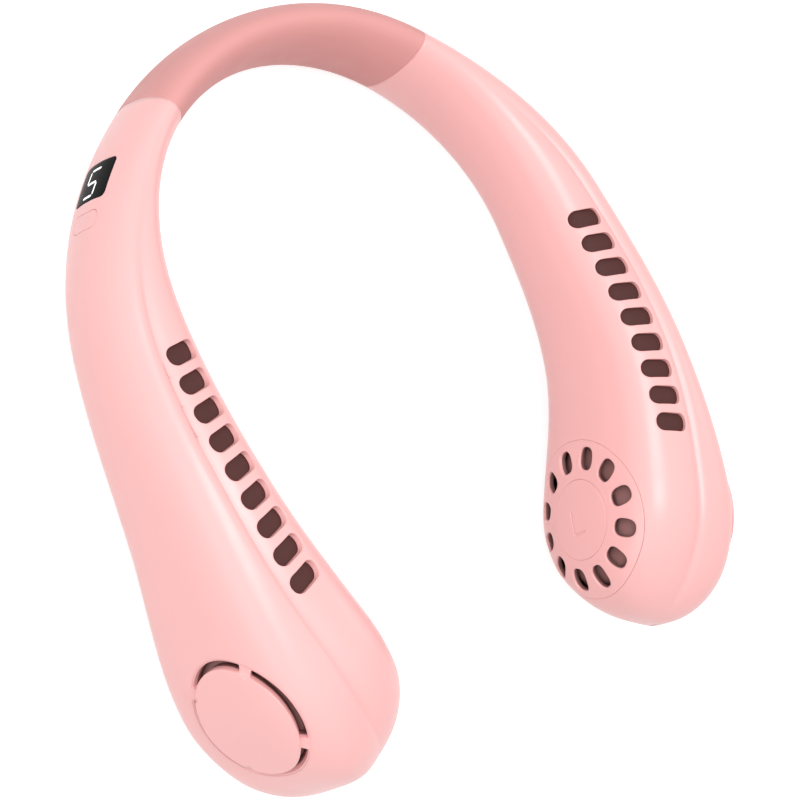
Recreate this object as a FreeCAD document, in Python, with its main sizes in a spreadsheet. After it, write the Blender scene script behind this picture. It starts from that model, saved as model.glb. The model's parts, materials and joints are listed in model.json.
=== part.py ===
import FreeCAD, Part
import math
import os
import re
import Sketcher

os.makedirs("parts", exist_ok=True)
doc = FreeCAD.newDocument("NeckFan")
V = FreeCAD.Vector
up = V(0, 0, 1)

# Driving sizes, in millimetres and degrees; the round parts of the bulb follow its height by shares
sizes = {
    # spine of the collar in plan: four tangent arcs from the middle of the band to the tip
    "band_radius": 71.6,
    "band_turn": 38.4,
    "shoulder_radius": 85.2,
    "shoulder_turn": 46.1,
    "vent_radius": 263.0,
    "vent_turn": 21.8,
    "tip_radius": 126.0,
    "tip_turn": 15.1,
    # cross-section at the band, the shoulder, the vents, the fan and the tip
    "band_thickness": 14.6,
    "shoulder_thickness": 27.0,
    "vent_thickness": 33.4,
    "fan_thickness": 45.8,
    "tip_thickness": 40.4,
    "band_height": 37.0,
    "shoulder_height": 37.8,
    "vent_height": 46.4,
    "fan_height": 58.4,
    "tip_height": 50.0,
    # height of the middle of each cross-section above the middle of the band
    "shoulder_rise": 7.4,
    "vent_rise": 13.4,
    "fan_rise": 9.9,
    "tip_rise": 11.1,
    # lean of the bulb's faces: how much narrower each half is at the top than in the middle, as a share
    "outer_lean_share": 0.21,
    "inner_lean_share": 0.07,
    # exponent of the rounded cross-section, 2 for an ellipse and more for a squarer form;
    # the outer face is flatter
    "band_squareness": 2.0,
    "bulb_squareness": 3.3,
    "face_squareness": 4.2,
    # length of the rounding of the tip, in plan and from the side
    "tip_rounding_plan": 20.4,
    "tip_rounding_side": 40.4,
    "tip_squareness": 2.2,
    # casing
    "wall": 1.8,
    "seam_gap": 0.12,
    "fit_clearance": 0.15,
    "overrun": 6.0,
    # air slots along the top of the arm
    "slot_count": 9,
    "slot_first_station": 123.6,
    "slot_pitch": 8.45,
    "slot_length": 8.8,
    "slot_width": 5.2,
    "slot_corner": 1.7,
    "slot_lean": 22.0,
    "slot_first_inset": 4.0,
    "slot_last_inset": 5.1,
    # intake cover on the outer face
    "cover_lift_share": 0.1113,
    "cover_lift": "=fan_height * cover_lift_share",
    "cover_share": 0.3356,
    "cover_radius": "=fan_height * cover_share",
    "cover_thickness": 3.0,
    "arc_slot_count": 4,
    "arc_slot_share": 0.908,
    "arc_slot_radius": "=cover_radius * arc_slot_share",
    "arc_slot_width": 2.0,
    "arc_slot_turn": 78.0,
    "arc_slot_start": 41.0,
    # grille and badge on the inner face, round the fan axis
    "fan_drop": 0.8,
    "grille_share": 0.4144,
    "grille_radius": "=fan_height * grille_share",
    "grille_hole_count": 12,
    "hole_ring_share": 0.769,
    "grille_hole_ring": "=grille_radius * hole_ring_share",
    "hole_length_share": 0.347,
    "grille_hole_length": "=grille_radius * hole_length_share",
    "hole_width_share": 0.24,
    "grille_hole_width": "=grille_radius * hole_width_share",
    "badge_share": 0.504,
    "badge_radius": "=grille_radius * badge_share",
    "badge_depth": 0.9,
    "boss_radius": 10.5,
    "boss_height": 4.0,
    # motor, measured along the fan axis from the boss
    "flange_radius": 8.0,
    "flange_height": 1.2,
    "board_radius": 8.6,
    "board_thickness": 1.0,
    "screw_count": 3,
    "screw_ring": 5.4,
    "screw_radius": 0.7,
    "screw_head_radius": 1.3,
    "screw_head_height": 0.8,
    "screw_depth": 1.4,
    "bearing_tube_radius": 2.8,
    "bearing_tube_height": 11.6,
    "shaft_radius": 1.0,
    "shaft_clearance": 0.05,
    "shaft_foot_gap": 0.4,
    "stator_bottom": 3.7,
    "stator_height": 6.0,
    "stator_radius": 6.5,
    "stator_hub_wall": 0.9,
    "stator_teeth": 6,
    "tooth_width": 1.4,
    "shoe_height": 0.7,
    "coil_wall": 0.65,
    "magnet_gap": 0.4,
    "magnet_wall": 1.2,
    "cup_bottom": 3.3,
    "cup_height": 9.8,
    "cup_wall": 0.9,
    # impeller
    "hub_wall": 1.0,
    "wheel_radius": 20.0,
    "blade_inner_radius": 13.5,
    "blade_count": 18,
    "blade_thickness": 0.9,
    "blade_curve": 9.0,
    "blade_sweep": 24.0,
    "blade_height": 24.0,
    "web_thickness": 1.2,
    "rim_wall": 1.2,
    # band internals
    "coupler_depth": 11.0,
    "coupler_clearance": 0.4,
    "wire_radius": 1.0,
    "wire_lift": 6.0,
    "wire_reach": 6.0,
    "cable_radius": 1.3,
    "cable_drop": 6.0,
    "cable_right_reach": 16.0,
    "channel_clearance": 0.2,
    # battery bay
    "battery_diameter": 18.0,
    "battery_length": 65.0,
    "battery_cap_radius": 4.0,
    "battery_cap_height": 1.0,
    "battery_middle_station": 156.0,
    "battery_rise": 6.0,
    "battery_clearance": 0.25,
    "floor_thickness": 1.4,
    "floor_gap": 0.6,
    "tray_length": 70.0,
    "clip_thickness": 2.0,
    "clip_wall": 1.3,
    "clip_drop": 5.0,
    "clip_spacing": 22.0,
    "clip_count": 3,
    # control panel on the right arm
    "panel_lift": 1.6,
    "panel_station": 72.6,
    "window_length": 12.6,
    "window_height": 17.6,
    "window_corner": 1.6,
    "button_station": 84.0,
    "button_length": 5.4,
    "button_height": 13.4,
    "button_gap": 0.25,
    "button_travel": 0.6,
    "stem_radius": 1.2,
    "stem_gap": 0.4,
    "panel_board_station": 78.5,
    "panel_board_length": 28.0,
    "panel_board_height": 16.0,
    "panel_board_thickness": 1.0,
    "panel_board_depth": 7.0,
    "module_length": 9.0,
    "module_height": 12.0,
    "module_depth": 2.2,
    "switch_side": 4.5,
    "switch_height": 2.0,
    "switch_pin_radius": 0.9,
    # charging port, to the standard receptacle's size
    "port_station": 101.0,
    "port_drop": 15.2,
    "port_width": 8.94,
    "port_height": 3.26,
    "port_length": 7.35,
    "port_wall": 0.32,
    "port_tongue_width": 6.69,
    "port_tongue_thickness": 0.7,
    "port_back": 1.6,
    "port_gap": 0.2,
    "port_recess": 0.3,
}

sheet = doc.addObject("Spreadsheet::Sheet", "Sizes")
for row, (alias, value) in enumerate(sizes.items(), start=1):
    sheet.set("A%d" % row, alias.replace("_", " "))
    sheet.set("B%d" % row, str(value))
    sheet.setAlias("B%d" % row, alias)
doc.recompute()


def expression(text):
    """An expression over the sheet: each size's name gets the sheet's name before it."""
    return re.sub(r"[a-z][a-z_]+", lambda word: "Sizes." + word.group(0), text)


def size(text):
    """The value of a size, or of a sum of sizes."""
    return float(sheet.evalExpression(expression(text)))


def bind(obj, **properties):
    """Ties properties of an object to sums of sizes."""
    for name, text in properties.items():
        obj.setExpression(name, expression(text))
    return obj


# Spine and cross-section of the arm

arc_names = ["band", "shoulder", "vent", "tip"]
arc_radii = [size(name + "_radius") for name in arc_names]
arc_turns = [math.radians(size(name + "_turn")) for name in arc_names]
arc_lengths = [radius * turn for radius, turn in zip(arc_radii, arc_turns)]
joint_station = arc_lengths[0]
shoulder_station = joint_station + arc_lengths[1]
fan_station = shoulder_station + arc_lengths[2]
vent_station = (shoulder_station + fan_station) / 2
tip_station = fan_station + arc_lengths[3]

key_names = ["band", "shoulder", "vent", "fan", "tip"]
key_stations = [joint_station, shoulder_station, vent_station, fan_station, tip_station]
key_half_thickness = [size(name + "_thickness") / 2 for name in key_names]
key_half_height = [size(name + "_height") / 2 for name in key_names]
key_rise = [0] + [size(name + "_rise") for name in key_names[1:]]


def between_keys(values, station):
    """Smooth curve through the values at the key stations, level where the arm meets the band."""
    slopes = [0]
    for i in range(1, len(values) - 1):
        slopes.append((values[i + 1] - values[i - 1]) / (key_stations[i + 1] - key_stations[i - 1]))
    slopes.append((values[-1] - values[-2]) / (key_stations[-1] - key_stations[-2]))
    station = min(max(station, key_stations[0]), key_stations[-1])
    i = max(k for k in range(len(values) - 1) if key_stations[k] <= station)
    span = key_stations[i + 1] - key_stations[i]
    q = (station - key_stations[i]) / span
    start = (1 + 2 * q) * (1 - q) ** 2 * values[i] + q * (1 - q) ** 2 * span * slopes[i]
    end = q * q * (3 - 2 * q) * values[i + 1] + q * q * (q - 1) * span * slopes[i + 1]
    return start + end


def plan(station):
    """Point and heading of the spine in plan, before the frame is set."""
    x, y, heading, rest = 0, 0, 0, station
    for radius, length in zip(arc_radii, arc_lengths):
        last = radius is arc_radii[-1]
        run = rest if last else min(rest, length)
        x += radius * (math.sin(heading + run / radius) - math.sin(heading))
        y += radius * (math.cos(heading + run / radius) - math.cos(heading))
        heading += run / radius
        rest -= run
        if rest <= 0:
            break
    return x, y, heading


def bulb_share(station):
    """How far a station lies from the band joint, 0, to the fan, 1."""
    return min(max((station - joint_station) / (fan_station - joint_station), 0), 1)


def half_section(station, inset):
    """Half thickness and half height of the cross-section, drawn in by an inset."""
    halves = []
    power = size("tip_squareness")
    roundings = ((key_half_thickness, "tip_rounding_plan"), (key_half_height, "tip_rounding_side"))
    for values, rounding in roundings:
        start = tip_station - size(rounding)
        q = min(max((station - start) / (size(rounding) - inset), 0), 1)
        halves.append((between_keys(values, station) - inset) * (1 - q ** power) ** (1 / power))
    return halves


def exponent_of(station, face):
    """Exponent of the cross-section on the side of the outer face, 1, or of the inner face, -1."""
    share = bulb_share(station)
    exponent = size("band_squareness") + size("bulb_squareness - band_squareness") * share
    if face > 0:
        exponent += size("face_squareness - bulb_squareness") * share ** 3
    return exponent


def signed_power(value, power):
    return math.copysign(abs(value) ** power, value)


def section_offset(station, angle, inset):
    """Outward and upward offset of a point of the cross-section, at an angle from the outer face."""
    half_thickness, half_height = half_section(station, inset)
    exponent = exponent_of(station, math.cos(angle))
    outward = half_thickness * signed_power(math.cos(angle), 2 / exponent)
    rise_share = signed_power(math.sin(angle), 2 / exponent)
    share = bulb_share(station)
    lean = size("outer_lean_share") if outward > 0 else size("inner_lean_share")
    outward *= 1 - lean * share ** 2 * (3 - 2 * share) * rise_share
    return outward, half_height * rise_share


def face_offset(station, lift, face, inset=0):
    """Outward offset of the outer face, 1, or the inner face, -1, at a height above the middle."""
    half_height = half_section(station, inset)[1]
    angle = math.asin(signed_power(lift / half_height, exponent_of(station, face) / 2))
    return section_offset(station, angle if face > 0 else math.pi - angle, inset)[0]


# The frame: middle of the box in plan, lowest point at zero
ring_points = 24
ring_angles = [2 * math.pi * k / ring_points - math.pi / 2 for k in range(ring_points)]
tip_samples = 200
front = min(
    plan(s)[1] + math.cos(plan(s)[2]) * section_offset(s, angle, 0)[0]
    for s in [fan_station + (tip_station - fan_station) * k / tip_samples for k in range(tip_samples)]
    for angle in ring_angles
)
lowest = min(
    between_keys(key_rise, s) - half_section(s, 0)[1]
    for s in [tip_station * k / tip_samples for k in range(tip_samples)]
)
frame_shift = V(0, -(front + size("band_thickness") / 2) / 2, -lowest)


def spine(station, side=1):
    """Centre, direction towards the tip and outward direction; side is 1 on the left arm, -1 on the right."""
    x, y, heading = plan(station)
    centre = V(side * x, y, between_keys(key_rise, station)) + frame_shift
    along = V(side * math.cos(heading), -math.sin(heading), 0)
    outward = V(side * math.sin(heading), math.cos(heading), 0)
    return centre, along, outward


def ring(station, inset):
    """Closed smooth outline of the cross-section."""
    centre, along, outward = spine(station)
    offsets = [section_offset(station, angle, inset) for angle in ring_angles]
    curve = Part.BSplineCurve()
    curve.interpolate(Points=[centre + outward * u + up * w for u, w in offsets], PeriodicFlag=True)
    return Part.Wire([curve.toShape()])


# Helpers that add objects to the document


def feature(name, shape):
    obj = doc.addObject("Part::Feature", name)
    obj.Shape = shape
    return obj


def limb(name, stations, inset):
    """Loft of the arm's cross-section along the spine."""
    loft = doc.addObject("Part::Loft", name)
    loft.Sections = [feature(name + "_section", ring(station, inset)) for station in stations]
    loft.Solid = True
    loft.Ruled = False
    return loft


def cylinder(name, place, radius, height, angle=None):
    obj = doc.addObject("Part::Cylinder", name)
    bind(obj, Radius=radius, Height=height)
    if angle:
        bind(obj, Angle=angle)
    obj.Placement = place
    return obj


def block(name, place, length, width, height):
    """Box centred on its place in two directions, rising along the third."""
    obj = doc.addObject("Part::Box", name)
    bind(obj, Length=length, Width=width, Height=height)
    obj.Placement = moved(place, -size(length) / 2, -size(width) / 2, 0)
    return obj


def cut(name, base, *tools):
    for tool in tools:
        obj = doc.addObject("Part::Cut", name)
        obj.Base = base
        obj.Tool = tool
        base = obj
    return base


def common(name, base, tool):
    obj = doc.addObject("Part::Common", name)
    obj.Base = base
    obj.Tool = tool
    return obj


def fuse(name, *shapes):
    obj = doc.addObject("Part::MultiFuse", name)
    obj.Shapes = list(shapes)
    return obj


def group(name, *links):
    obj = doc.addObject("Part::Compound", name)
    obj.Links = list(links)
    return obj


def mirrored(name, source):
    """The same piece on the right arm."""
    obj = doc.addObject("Part::Mirroring", name)
    obj.Source = source
    obj.Normal = V(1, 0, 0)
    return obj


def axes(origin, outward, upward):
    """Placement whose Z axis points outward and whose Y axis points up."""
    return FreeCAD.Placement(origin, FreeCAD.Rotation(upward.cross(outward), upward, outward, "ZYX"))


def moved(place, x, y, z):
    return place.multiply(FreeCAD.Placement(V(x, y, z), FreeCAD.Rotation()))


def spun(place, degrees):
    return place.multiply(FreeCAD.Placement(V(0, 0, 0), FreeCAD.Rotation(up, degrees)))


def sketch_at(body, name, level):
    """Sketch parallel to the body's base plane, at a level above it."""
    sketch = body.newObject("Sketcher::SketchObject", name)
    base = next(plane for plane in body.Origin.OriginFeatures if plane.Role == "XY_Plane")
    sketch.AttachmentSupport = [(base, "")]
    sketch.MapMode = "FlatFace"
    sketch.setExpression(".AttachmentOffset.Base.z", expression(level))
    return sketch


def draw_circle(sketch, radius):
    index = sketch.addGeometry(Part.Circle(V(0, 0, 0), up, size(radius)))
    sketch.addConstraint(Sketcher.Constraint("Coincident", index, 3, -1, 1))
    constraint = sketch.addConstraint(Sketcher.Constraint("Radius", index, size(radius)))
    sketch.setExpression("Constraints[%d]" % constraint, expression(radius))


def pad(body, sketch, height):
    solid = body.newObject("PartDesign::Pad", sketch.Name + "_pad")
    solid.Profile = sketch
    bind(solid, Length=height)
    return solid


def turned(name, place, steps):
    """Body of concentric pads; each step is outer radius, inner radius or None, bottom level and height."""
    body = doc.addObject("PartDesign::Body", name)
    for outer, inner, level, height in steps:
        sketch = sketch_at(body, name + "_sketch", level)
        draw_circle(sketch, outer)
        if inner:
            draw_circle(sketch, inner)
        pad(body, sketch, height)
    body.Placement = place
    return body


def around(place, count, radius):
    """Places evenly spaced round the axis of a place."""
    return [moved(spun(place, 360 * k / count), radius, 0, 0) for k in range(count)]


base_level = "wall - wall"
nodes = {}


def node(name, obj):
    obj.Label = name
    nodes[name] = obj
    return obj


# Arm: outer form, cavity and the two casing halves

loft_steps = 17
loft_crowding = 1.7
arm_shares = [1 - (1 - k / loft_steps) ** loft_crowding for k in range(loft_steps)]
tip_share = 0.9995


def run_of(first, last, steps):
    """Evenly spaced stations."""
    return [first + (last - first) * k / steps for k in range(steps + 1)]


def arm_stations(inset):
    reach = tip_station - inset - joint_station
    return [joint_station + reach * share for share in arm_shares + [tip_share]]


arm_form = limb("arm_form", arm_stations(0), 0)
arm_cavity = limb("arm_cavity", [joint_station - size("overrun")] + arm_stations(size("wall")), size("wall"))


def skin_within(name, tool):
    """The part of the casing's wall that lies inside a tool."""
    return cut(name, common(name + "_blank", arm_form, tool), arm_cavity)


# The seam runs along the top just outside the slots, where the outer face turns into the top facet
seam_share = 0.22
seam_steps = 9


def seam_side(name, gap):
    """Block that holds everything outside the seam."""
    reach = size("fan_thickness + overrun")
    seam, far = [], []
    for station in run_of(joint_station - size("overrun"), tip_station + size("overrun"), seam_steps):
        centre, along, outward = spine(station)
        offset = between_keys(key_half_thickness, station) * seam_share + gap
        for points, distance in ((seam, offset), (far, reach)):
            point = centre + outward * distance
            points.append(V(point.x, point.y, -size("overrun")))
    edge = Part.BSplineCurve()
    edge.interpolate(Points=seam)
    outer = Part.BSplineCurve()
    outer.interpolate(Points=far)
    wire = Part.Wire([
        edge.toShape(),
        Part.makeLine(seam[-1], far[-1]),
        outer.toShape(),
        Part.makeLine(far[0], seam[0]),
    ])
    height = size("fan_height + tip_height + overrun")
    return feature(name, Part.Face(wire).extrude(V(0, 0, height)))


outer_block = seam_side("outer_block", size("seam_gap"))
inner_block = seam_side("inner_block", 0)
outer_half = skin_within("outer_half", outer_block)
inner_half = cut("inner_half", arm_form, inner_block, arm_cavity)

# Fan axis: across the bulb, near the middle of the cross-section

inner_face = face_offset(fan_station, -size("fan_drop"), -1)


def fan_axes(depth):
    """Placement on the fan axis, at a distance outward from the spine."""
    centre, along, outward = spine(fan_station)
    return axes(centre - up * size("fan_drop") + outward * depth, outward, up)


def skin_axes(side, station, lift, depth):
    """Placement square to the outer face at a station and a height, outward from the skin by a depth."""
    centre, along, outward = spine(station, side)
    reach = face_offset(station, lift, 1)
    fall = face_offset(station, lift - size("wall"), 1) - face_offset(station, lift + size("wall"), 1)
    tilt = math.atan2(fall, size("2 * wall"))
    facing = outward * math.cos(tilt) + up * math.sin(tilt)
    upward = up * math.cos(tilt) - outward * math.sin(tilt)
    return axes(centre + outward * reach + up * lift + facing * depth, facing, upward)


cover_place = skin_axes(1, fan_station, size("cover_lift"), -size("cover_thickness + overrun"))
cover_run = "cover_thickness + 2 * overrun"
cover_hole = cylinder("cover_hole", cover_place, "cover_radius + fit_clearance", cover_run)
left_outer_base = cut("left_outer_base", outer_half, cover_hole)

# Intake cover: the round of outer wall, thicker than the casing, with four arc slots

cover_inside = limb("cover_inside", arm_stations(size("cover_thickness")), size("cover_thickness"))
cover_plug = cylinder("cover_plug", cover_place, "cover_radius", cover_run)
cover_skin = cut("cover_skin", common("cover_blank", arm_form, cover_plug), cover_inside)
arc_slots = []
arc_count = int(size("arc_slot_count"))
for k in range(arc_count):
    turn = spun(cover_place, size("arc_slot_start") + 360 * k / arc_count)
    whole = cylinder("arc_outer", turn, "arc_slot_radius + arc_slot_width / 2", cover_run, "arc_slot_turn")
    middle = cylinder("arc_inner", turn, "arc_slot_radius - arc_slot_width / 2", cover_run, "arc_slot_turn")
    arc_slots.append(cut("arc_slot", whole, middle))
left_cover_base = cut("left_cover_base", cover_skin, group("arc_slots", *arc_slots))

grille_bottom = inner_face - size("overrun")
grille_plug = cylinder("grille_plug", fan_axes(grille_bottom), "grille_radius", "fan_thickness / 2 + overrun")
grille_hole = cylinder(
    "grille_hole", fan_axes(grille_bottom), "grille_radius + fit_clearance", "fan_thickness / 2 + overrun",
)
badge_plug = cylinder("badge_plug", fan_axes(grille_bottom), "badge_radius", "overrun + badge_depth")
badge_pocket = cylinder(
    "badge_pocket", fan_axes(grille_bottom), "badge_radius + fit_clearance", "overrun + badge_depth",
)


# Air slots: slanted four-sided openings with rounded corners, cut straight down through the top


def vent_cutters():
    lean = size("slot_length") / 2 * math.tan(math.radians(size("slot_lean")))
    half_length = size("slot_length / 2")
    half_width = size("slot_width / 2")
    cutters = []
    count = int(size("slot_count"))
    for k in range(count):
        centre, along, outward = spine(size("slot_first_station") + k * size("slot_pitch"))
        inset = size("slot_first_inset") + size("slot_last_inset - slot_first_inset") * k / (count - 1)
        middle = centre - outward * inset
        corners = []
        for a, b in ((1, 1), (1, -1), (-1, -1), (-1, 1)):
            corners.append(middle + outward * (a * half_length) + along * (a * lean + b * half_width))
        face = Part.Face(Part.makePolygon(corners + corners[:1]))
        prism = face.extrude(V(0, 0, size("vent_height")))
        upright = [edge for edge in prism.Edges if abs(edge.tangentAt(edge.FirstParameter).z) > 1 / 2]
        cutters.append(prism.makeFillet(size("slot_corner"), upright))
    return Part.makeCompound(cutters)


slots = feature("air_slots", vent_cutters())
left_inner_base = cut("left_inner_base", inner_half, group("inner_cuts", grille_hole, slots))


# Grille: the round of inner wall round the fan axis, with oval holes and a boss for the motor


def grille_cutters():
    holes = []
    count = int(size("grille_hole_count"))
    for spot in around(spun(fan_axes(grille_bottom), 180 / count), count, size("grille_hole_ring")):
        oval = Part.Ellipse(V(0, 0, 0), size("grille_hole_length / 2"), size("grille_hole_width / 2"))
        prism = Part.Face(Part.Wire([oval.toShape()])).extrude(V(0, 0, size("fan_thickness / 2")))
        prism.Placement = spot
        holes.append(prism)
    return Part.makeCompound(holes)


seat_depth = inner_face + size("wall + boss_height")
grille_skin = skin_within("grille_skin", grille_plug)
boss_run = "boss_height + wall / 2"
boss = cylinder("boss", fan_axes(seat_depth - size(boss_run)), "boss_radius", boss_run)
grille_blank = fuse("grille_blank", grille_skin, boss)
grille_ovals = feature("grille_ovals", grille_cutters())
screw_holes = fuse("screw_holes", *[
    cylinder("screw_hole", moved(spot, 0, 0, -size("screw_depth")), "screw_radius + shaft_clearance",
             "screw_depth + overrun")
    for spot in around(fan_axes(seat_depth), int(size("screw_count")), size("screw_ring"))
])
left_grille_base = cut("left_grille_base", grille_blank, badge_pocket, screw_holes, grille_ovals)
left_badge_base = skin_within("left_badge_base", badge_plug)

# Coupler: plug that joins the end of the band and the end of the arm

coupler_steps = 6
coupler_inset = size("wall + coupler_clearance")
coupler_start = joint_station - size("coupler_depth")
coupler_end = joint_station + size("coupler_depth")
coupler_plug = limb("coupler_plug", run_of(coupler_start, coupler_end, coupler_steps), coupler_inset)
socket_start = coupler_start - size("fit_clearance")
left_socket = limb(
    "left_socket", run_of(socket_start, joint_station + size("fit_clearance"), coupler_steps), size("wall"),
)


def collar_path(right_reach, left_reach, lift):
    """Tangent arcs along the spine at one level, past both ends of the band."""
    edges = []
    stops = [
        (-1, joint_station + right_reach, joint_station),
        (0, 0, 0),
        (1, joint_station, joint_station + left_reach),
    ]
    for side, first, last in stops:
        if side == 0:
            first, last, middle = spine(joint_station, -1), spine(joint_station, 1), spine(0)
        else:
            middle = spine((first + last) / 2, side)
            first, last = spine(first, side), spine(last, side)
        points = [V(spot[0].x, spot[0].y, frame_shift.z + lift) for spot in (first, middle, last)]
        edges.append(Part.Arc(*points).toShape())
    return Part.Wire(edges)


def collar_tube(name, path, radius):
    start = path.Edges[0].valueAt(path.Edges[0].FirstParameter)
    heading = path.Edges[0].tangentAt(path.Edges[0].FirstParameter)
    profile = Part.Wire([Part.makeCircle(radius, start, heading)])
    return feature(name, path.makePipeShell([profile], True, False))


wire_path = collar_path(size("wire_reach"), size("wire_reach"), size("wire_lift"))
cable_left_reach = arc_lengths[1]
cable_path = collar_path(size("cable_right_reach"), cable_left_reach, -size("cable_drop"))
band_spring = collar_tube("spring_wire", wire_path, size("wire_radius"))
band_cable = collar_tube("cable", cable_path, size("cable_radius"))
channel_room = size("channel_clearance")
channel_reach = size("coupler_depth + overrun")
wire_run = collar_path(channel_reach, channel_reach, size("wire_lift"))
cable_run = collar_path(channel_reach, channel_reach, -size("cable_drop"))
wire_channel = collar_tube("wire_channel", wire_run, size("wire_radius") + channel_room)
cable_channel = collar_tube("cable_channel", cable_run, size("cable_radius") + channel_room)
left_coupler_base = cut("left_coupler_base", coupler_plug, wire_channel, cable_channel)

# Band: the section carried round its arc, hollowed for the couplers, the spring wire and the cable

band_face = feature("band_face", Part.Face(ring(0, 0)))
band_face.Shape = band_face.Shape.rotated(
    V(0, spine(0)[0].y - size("band_radius"), 0), up, size("band_turn"),
)
band_blank = doc.addObject("Part::Revolution", "band_blank")
band_blank.Source = band_face
band_blank.Axis = V(0, 0, -1)
band_blank.Base = V(0, spine(0)[0].y - size("band_radius"), 0)
bind(band_blank, Angle="2 * band_turn")
right_socket = mirrored("right_socket", left_socket)
band_sleeve = cut("band_sleeve", band_blank, left_socket, right_socket, wire_channel, cable_channel)
node("neck_band_sleeve", band_sleeve)
node("band_spring", band_spring)
node("band_cable", band_cable)

# Battery bay: a lithium cell held by clips under the floor of the air duct


def bay_axes():
    """Placement at the middle of the cell, with X along the arm and Z up."""
    half = size("battery_length / 2")
    station = size("battery_middle_station")
    first, last = spine(station - half)[0], spine(station + half)[0]
    middle = (first + last + spine(station)[0] * 2) / 4
    along = V(last.x - first.x, last.y - first.y, 0)
    along.normalize()
    origin = V(middle.x, middle.y, frame_shift.z + size("battery_rise"))
    return FreeCAD.Placement(origin, FreeCAD.Rotation(along, up.cross(along), up, "ZXY"))


bay = bay_axes()
cell_place = moved(bay, -size("battery_length / 2"), 0, 0).multiply(
    FreeCAD.Placement(V(0, 0, 0), FreeCAD.Rotation(V(0, 1, 0), 90))
)

tray_steps = 6
tray_start = size("battery_middle_station - tray_length / 2")
floor_level = frame_shift.z + size("battery_rise + battery_diameter / 2 + battery_clearance + floor_gap")


def floor_edge(face):
    """Edge of the duct's floor along the outer side, 1, or the inner side, -1, of the cavity."""
    points = []
    for station in run_of(tray_start, tray_start + size("tray_length"), tray_steps):
        centre, along, outward = spine(station)
        lifts = (floor_level - centre.z, floor_level + size("floor_thickness") - centre.z)
        inset = size("wall + fit_clearance")
        reach = min(abs(face_offset(station, lift, face, inset)) for lift in lifts)
        point = centre + outward * face * reach
        points.append(V(point.x, point.y, floor_level))
    edge = Part.BSplineCurve()
    edge.interpolate(Points=points)
    return points, edge.toShape()


outer_points, outer_edge = floor_edge(1)
inner_points, inner_edge = floor_edge(-1)
floor_wire = Part.Wire([
    outer_edge,
    Part.makeLine(outer_points[-1], inner_points[-1]),
    inner_edge,
    Part.makeLine(inner_points[0], outer_points[0]),
])
duct_floor = feature("duct_floor", Part.Face(floor_wire).extrude(V(0, 0, size("floor_thickness"))))
clip_side = "battery_diameter + 2 * battery_clearance + 2 * clip_wall"
clips = [
    block(
        "clip", moved(bay, (k - size("clip_count - 1") / 2) * size("clip_spacing"), 0, -size("clip_drop")),
        "clip_thickness", clip_side, "clip_drop + battery_diameter / 2 + battery_clearance + floor_gap",
    )
    for k in range(int(size("clip_count")))
]
cell_room = cylinder(
    "cell_room", moved(cell_place, 0, 0, -size("overrun")), "battery_diameter / 2 + battery_clearance",
    "battery_length + 2 * overrun",
)
clip_arms = cut("clip_arms", group("clip_bars", *clips), cell_room)
left_tray_base = fuse("left_tray_base", duct_floor, clip_arms)

# Control panel on the right arm: shaped here on the left and mirrored


def rounded_prism(name, place, length, height, depth, corner):
    """Prism along the place's Z axis with rounded corners, centred on it."""
    prism = Part.makeBox(length, height, depth, V(-length / 2, -height / 2, 0))
    upright = [edge for edge in prism.Edges if abs(edge.tangentAt(edge.FirstParameter).z) > 1 / 2]
    obj = feature(name, prism.makeFillet(corner, upright))
    obj.Placement = place
    return obj


pill_share = 0.499
plug_depth = size("wall + overrun")
plug_start = -size("wall + overrun / 2")


def window_prism(name, gap):
    place = skin_axes(1, size("panel_station"), size("panel_lift"), plug_start)
    length, height = size("window_length") + 2 * gap, size("window_height") + 2 * gap
    return rounded_prism(name, place, length, height, plug_depth, size("window_corner") + gap)


def button_prism(name, gap):
    place = skin_axes(1, size("button_station"), size("panel_lift"), plug_start)
    length, height = size("button_length") + 2 * gap, size("button_height") + 2 * gap
    return rounded_prism(name, place, length, height, plug_depth, length * pill_share)


def port_prism(name, side, gap, start, depth):
    """Round-ended bar at the charging port, from a start outward."""
    place = skin_axes(side, size("port_station"), -size("port_drop"), start)
    height = size("port_height") + 2 * gap
    return rounded_prism(name, place, size("port_width") + 2 * gap, height, depth, height * pill_share)


window_lens = skin_within("window_lens", window_prism("window_plug", 0))
node("display_window", mirrored("display_lens", window_lens))
switch_room = "switch_height + button_travel + stem_gap"
stem_start = size(switch_room) - size("panel_board_depth")
stem = cylinder(
    "button_stem", skin_axes(1, size("button_station"), size("panel_lift"), stem_start),
    "stem_radius", "panel_board_depth - wall / 2 - (" + switch_room + ")",
)
button_cap = fuse("button_cap", skin_within("button_skin", button_prism("button_plug", 0)), stem)
node("power_button", mirrored("button", button_cap))
panel_cuts = group(
    "panel_cuts",
    window_prism("window_hole", size("fit_clearance")),
    button_prism("button_hole", size("button_gap")),
    port_prism("port_hole", 1, size("port_gap"), plug_start, plug_depth),
)
right_outer_base = cut("right_outer_base", left_outer_base, panel_cuts)

# Board behind the panel, with the display module and the push switch on it
board_face = skin_axes(-1, size("panel_board_station"), size("panel_lift"), -size("panel_board_depth"))
board_back = moved(board_face, 0, 0, -size("panel_board_thickness"))
node("main_board", block(
    "panel_board", board_back, "panel_board_length", "panel_board_height", "panel_board_thickness",
))
module_place = moved(board_face, size("panel_station - panel_board_station"), 0, 0)
node("display_module", block("digit_module", module_place, "module_length", "module_height", "module_depth"))
switch_place = moved(board_face, size("button_station - panel_board_station"), 0, 0)
switch_body = block("switch_body", switch_place, "switch_side", "switch_side", "switch_height / 2")
switch_pin = cylinder("switch_pin", switch_place, "switch_pin_radius", "switch_height")
node("tact_switch", fuse("push_switch", switch_body, switch_pin))

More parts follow.
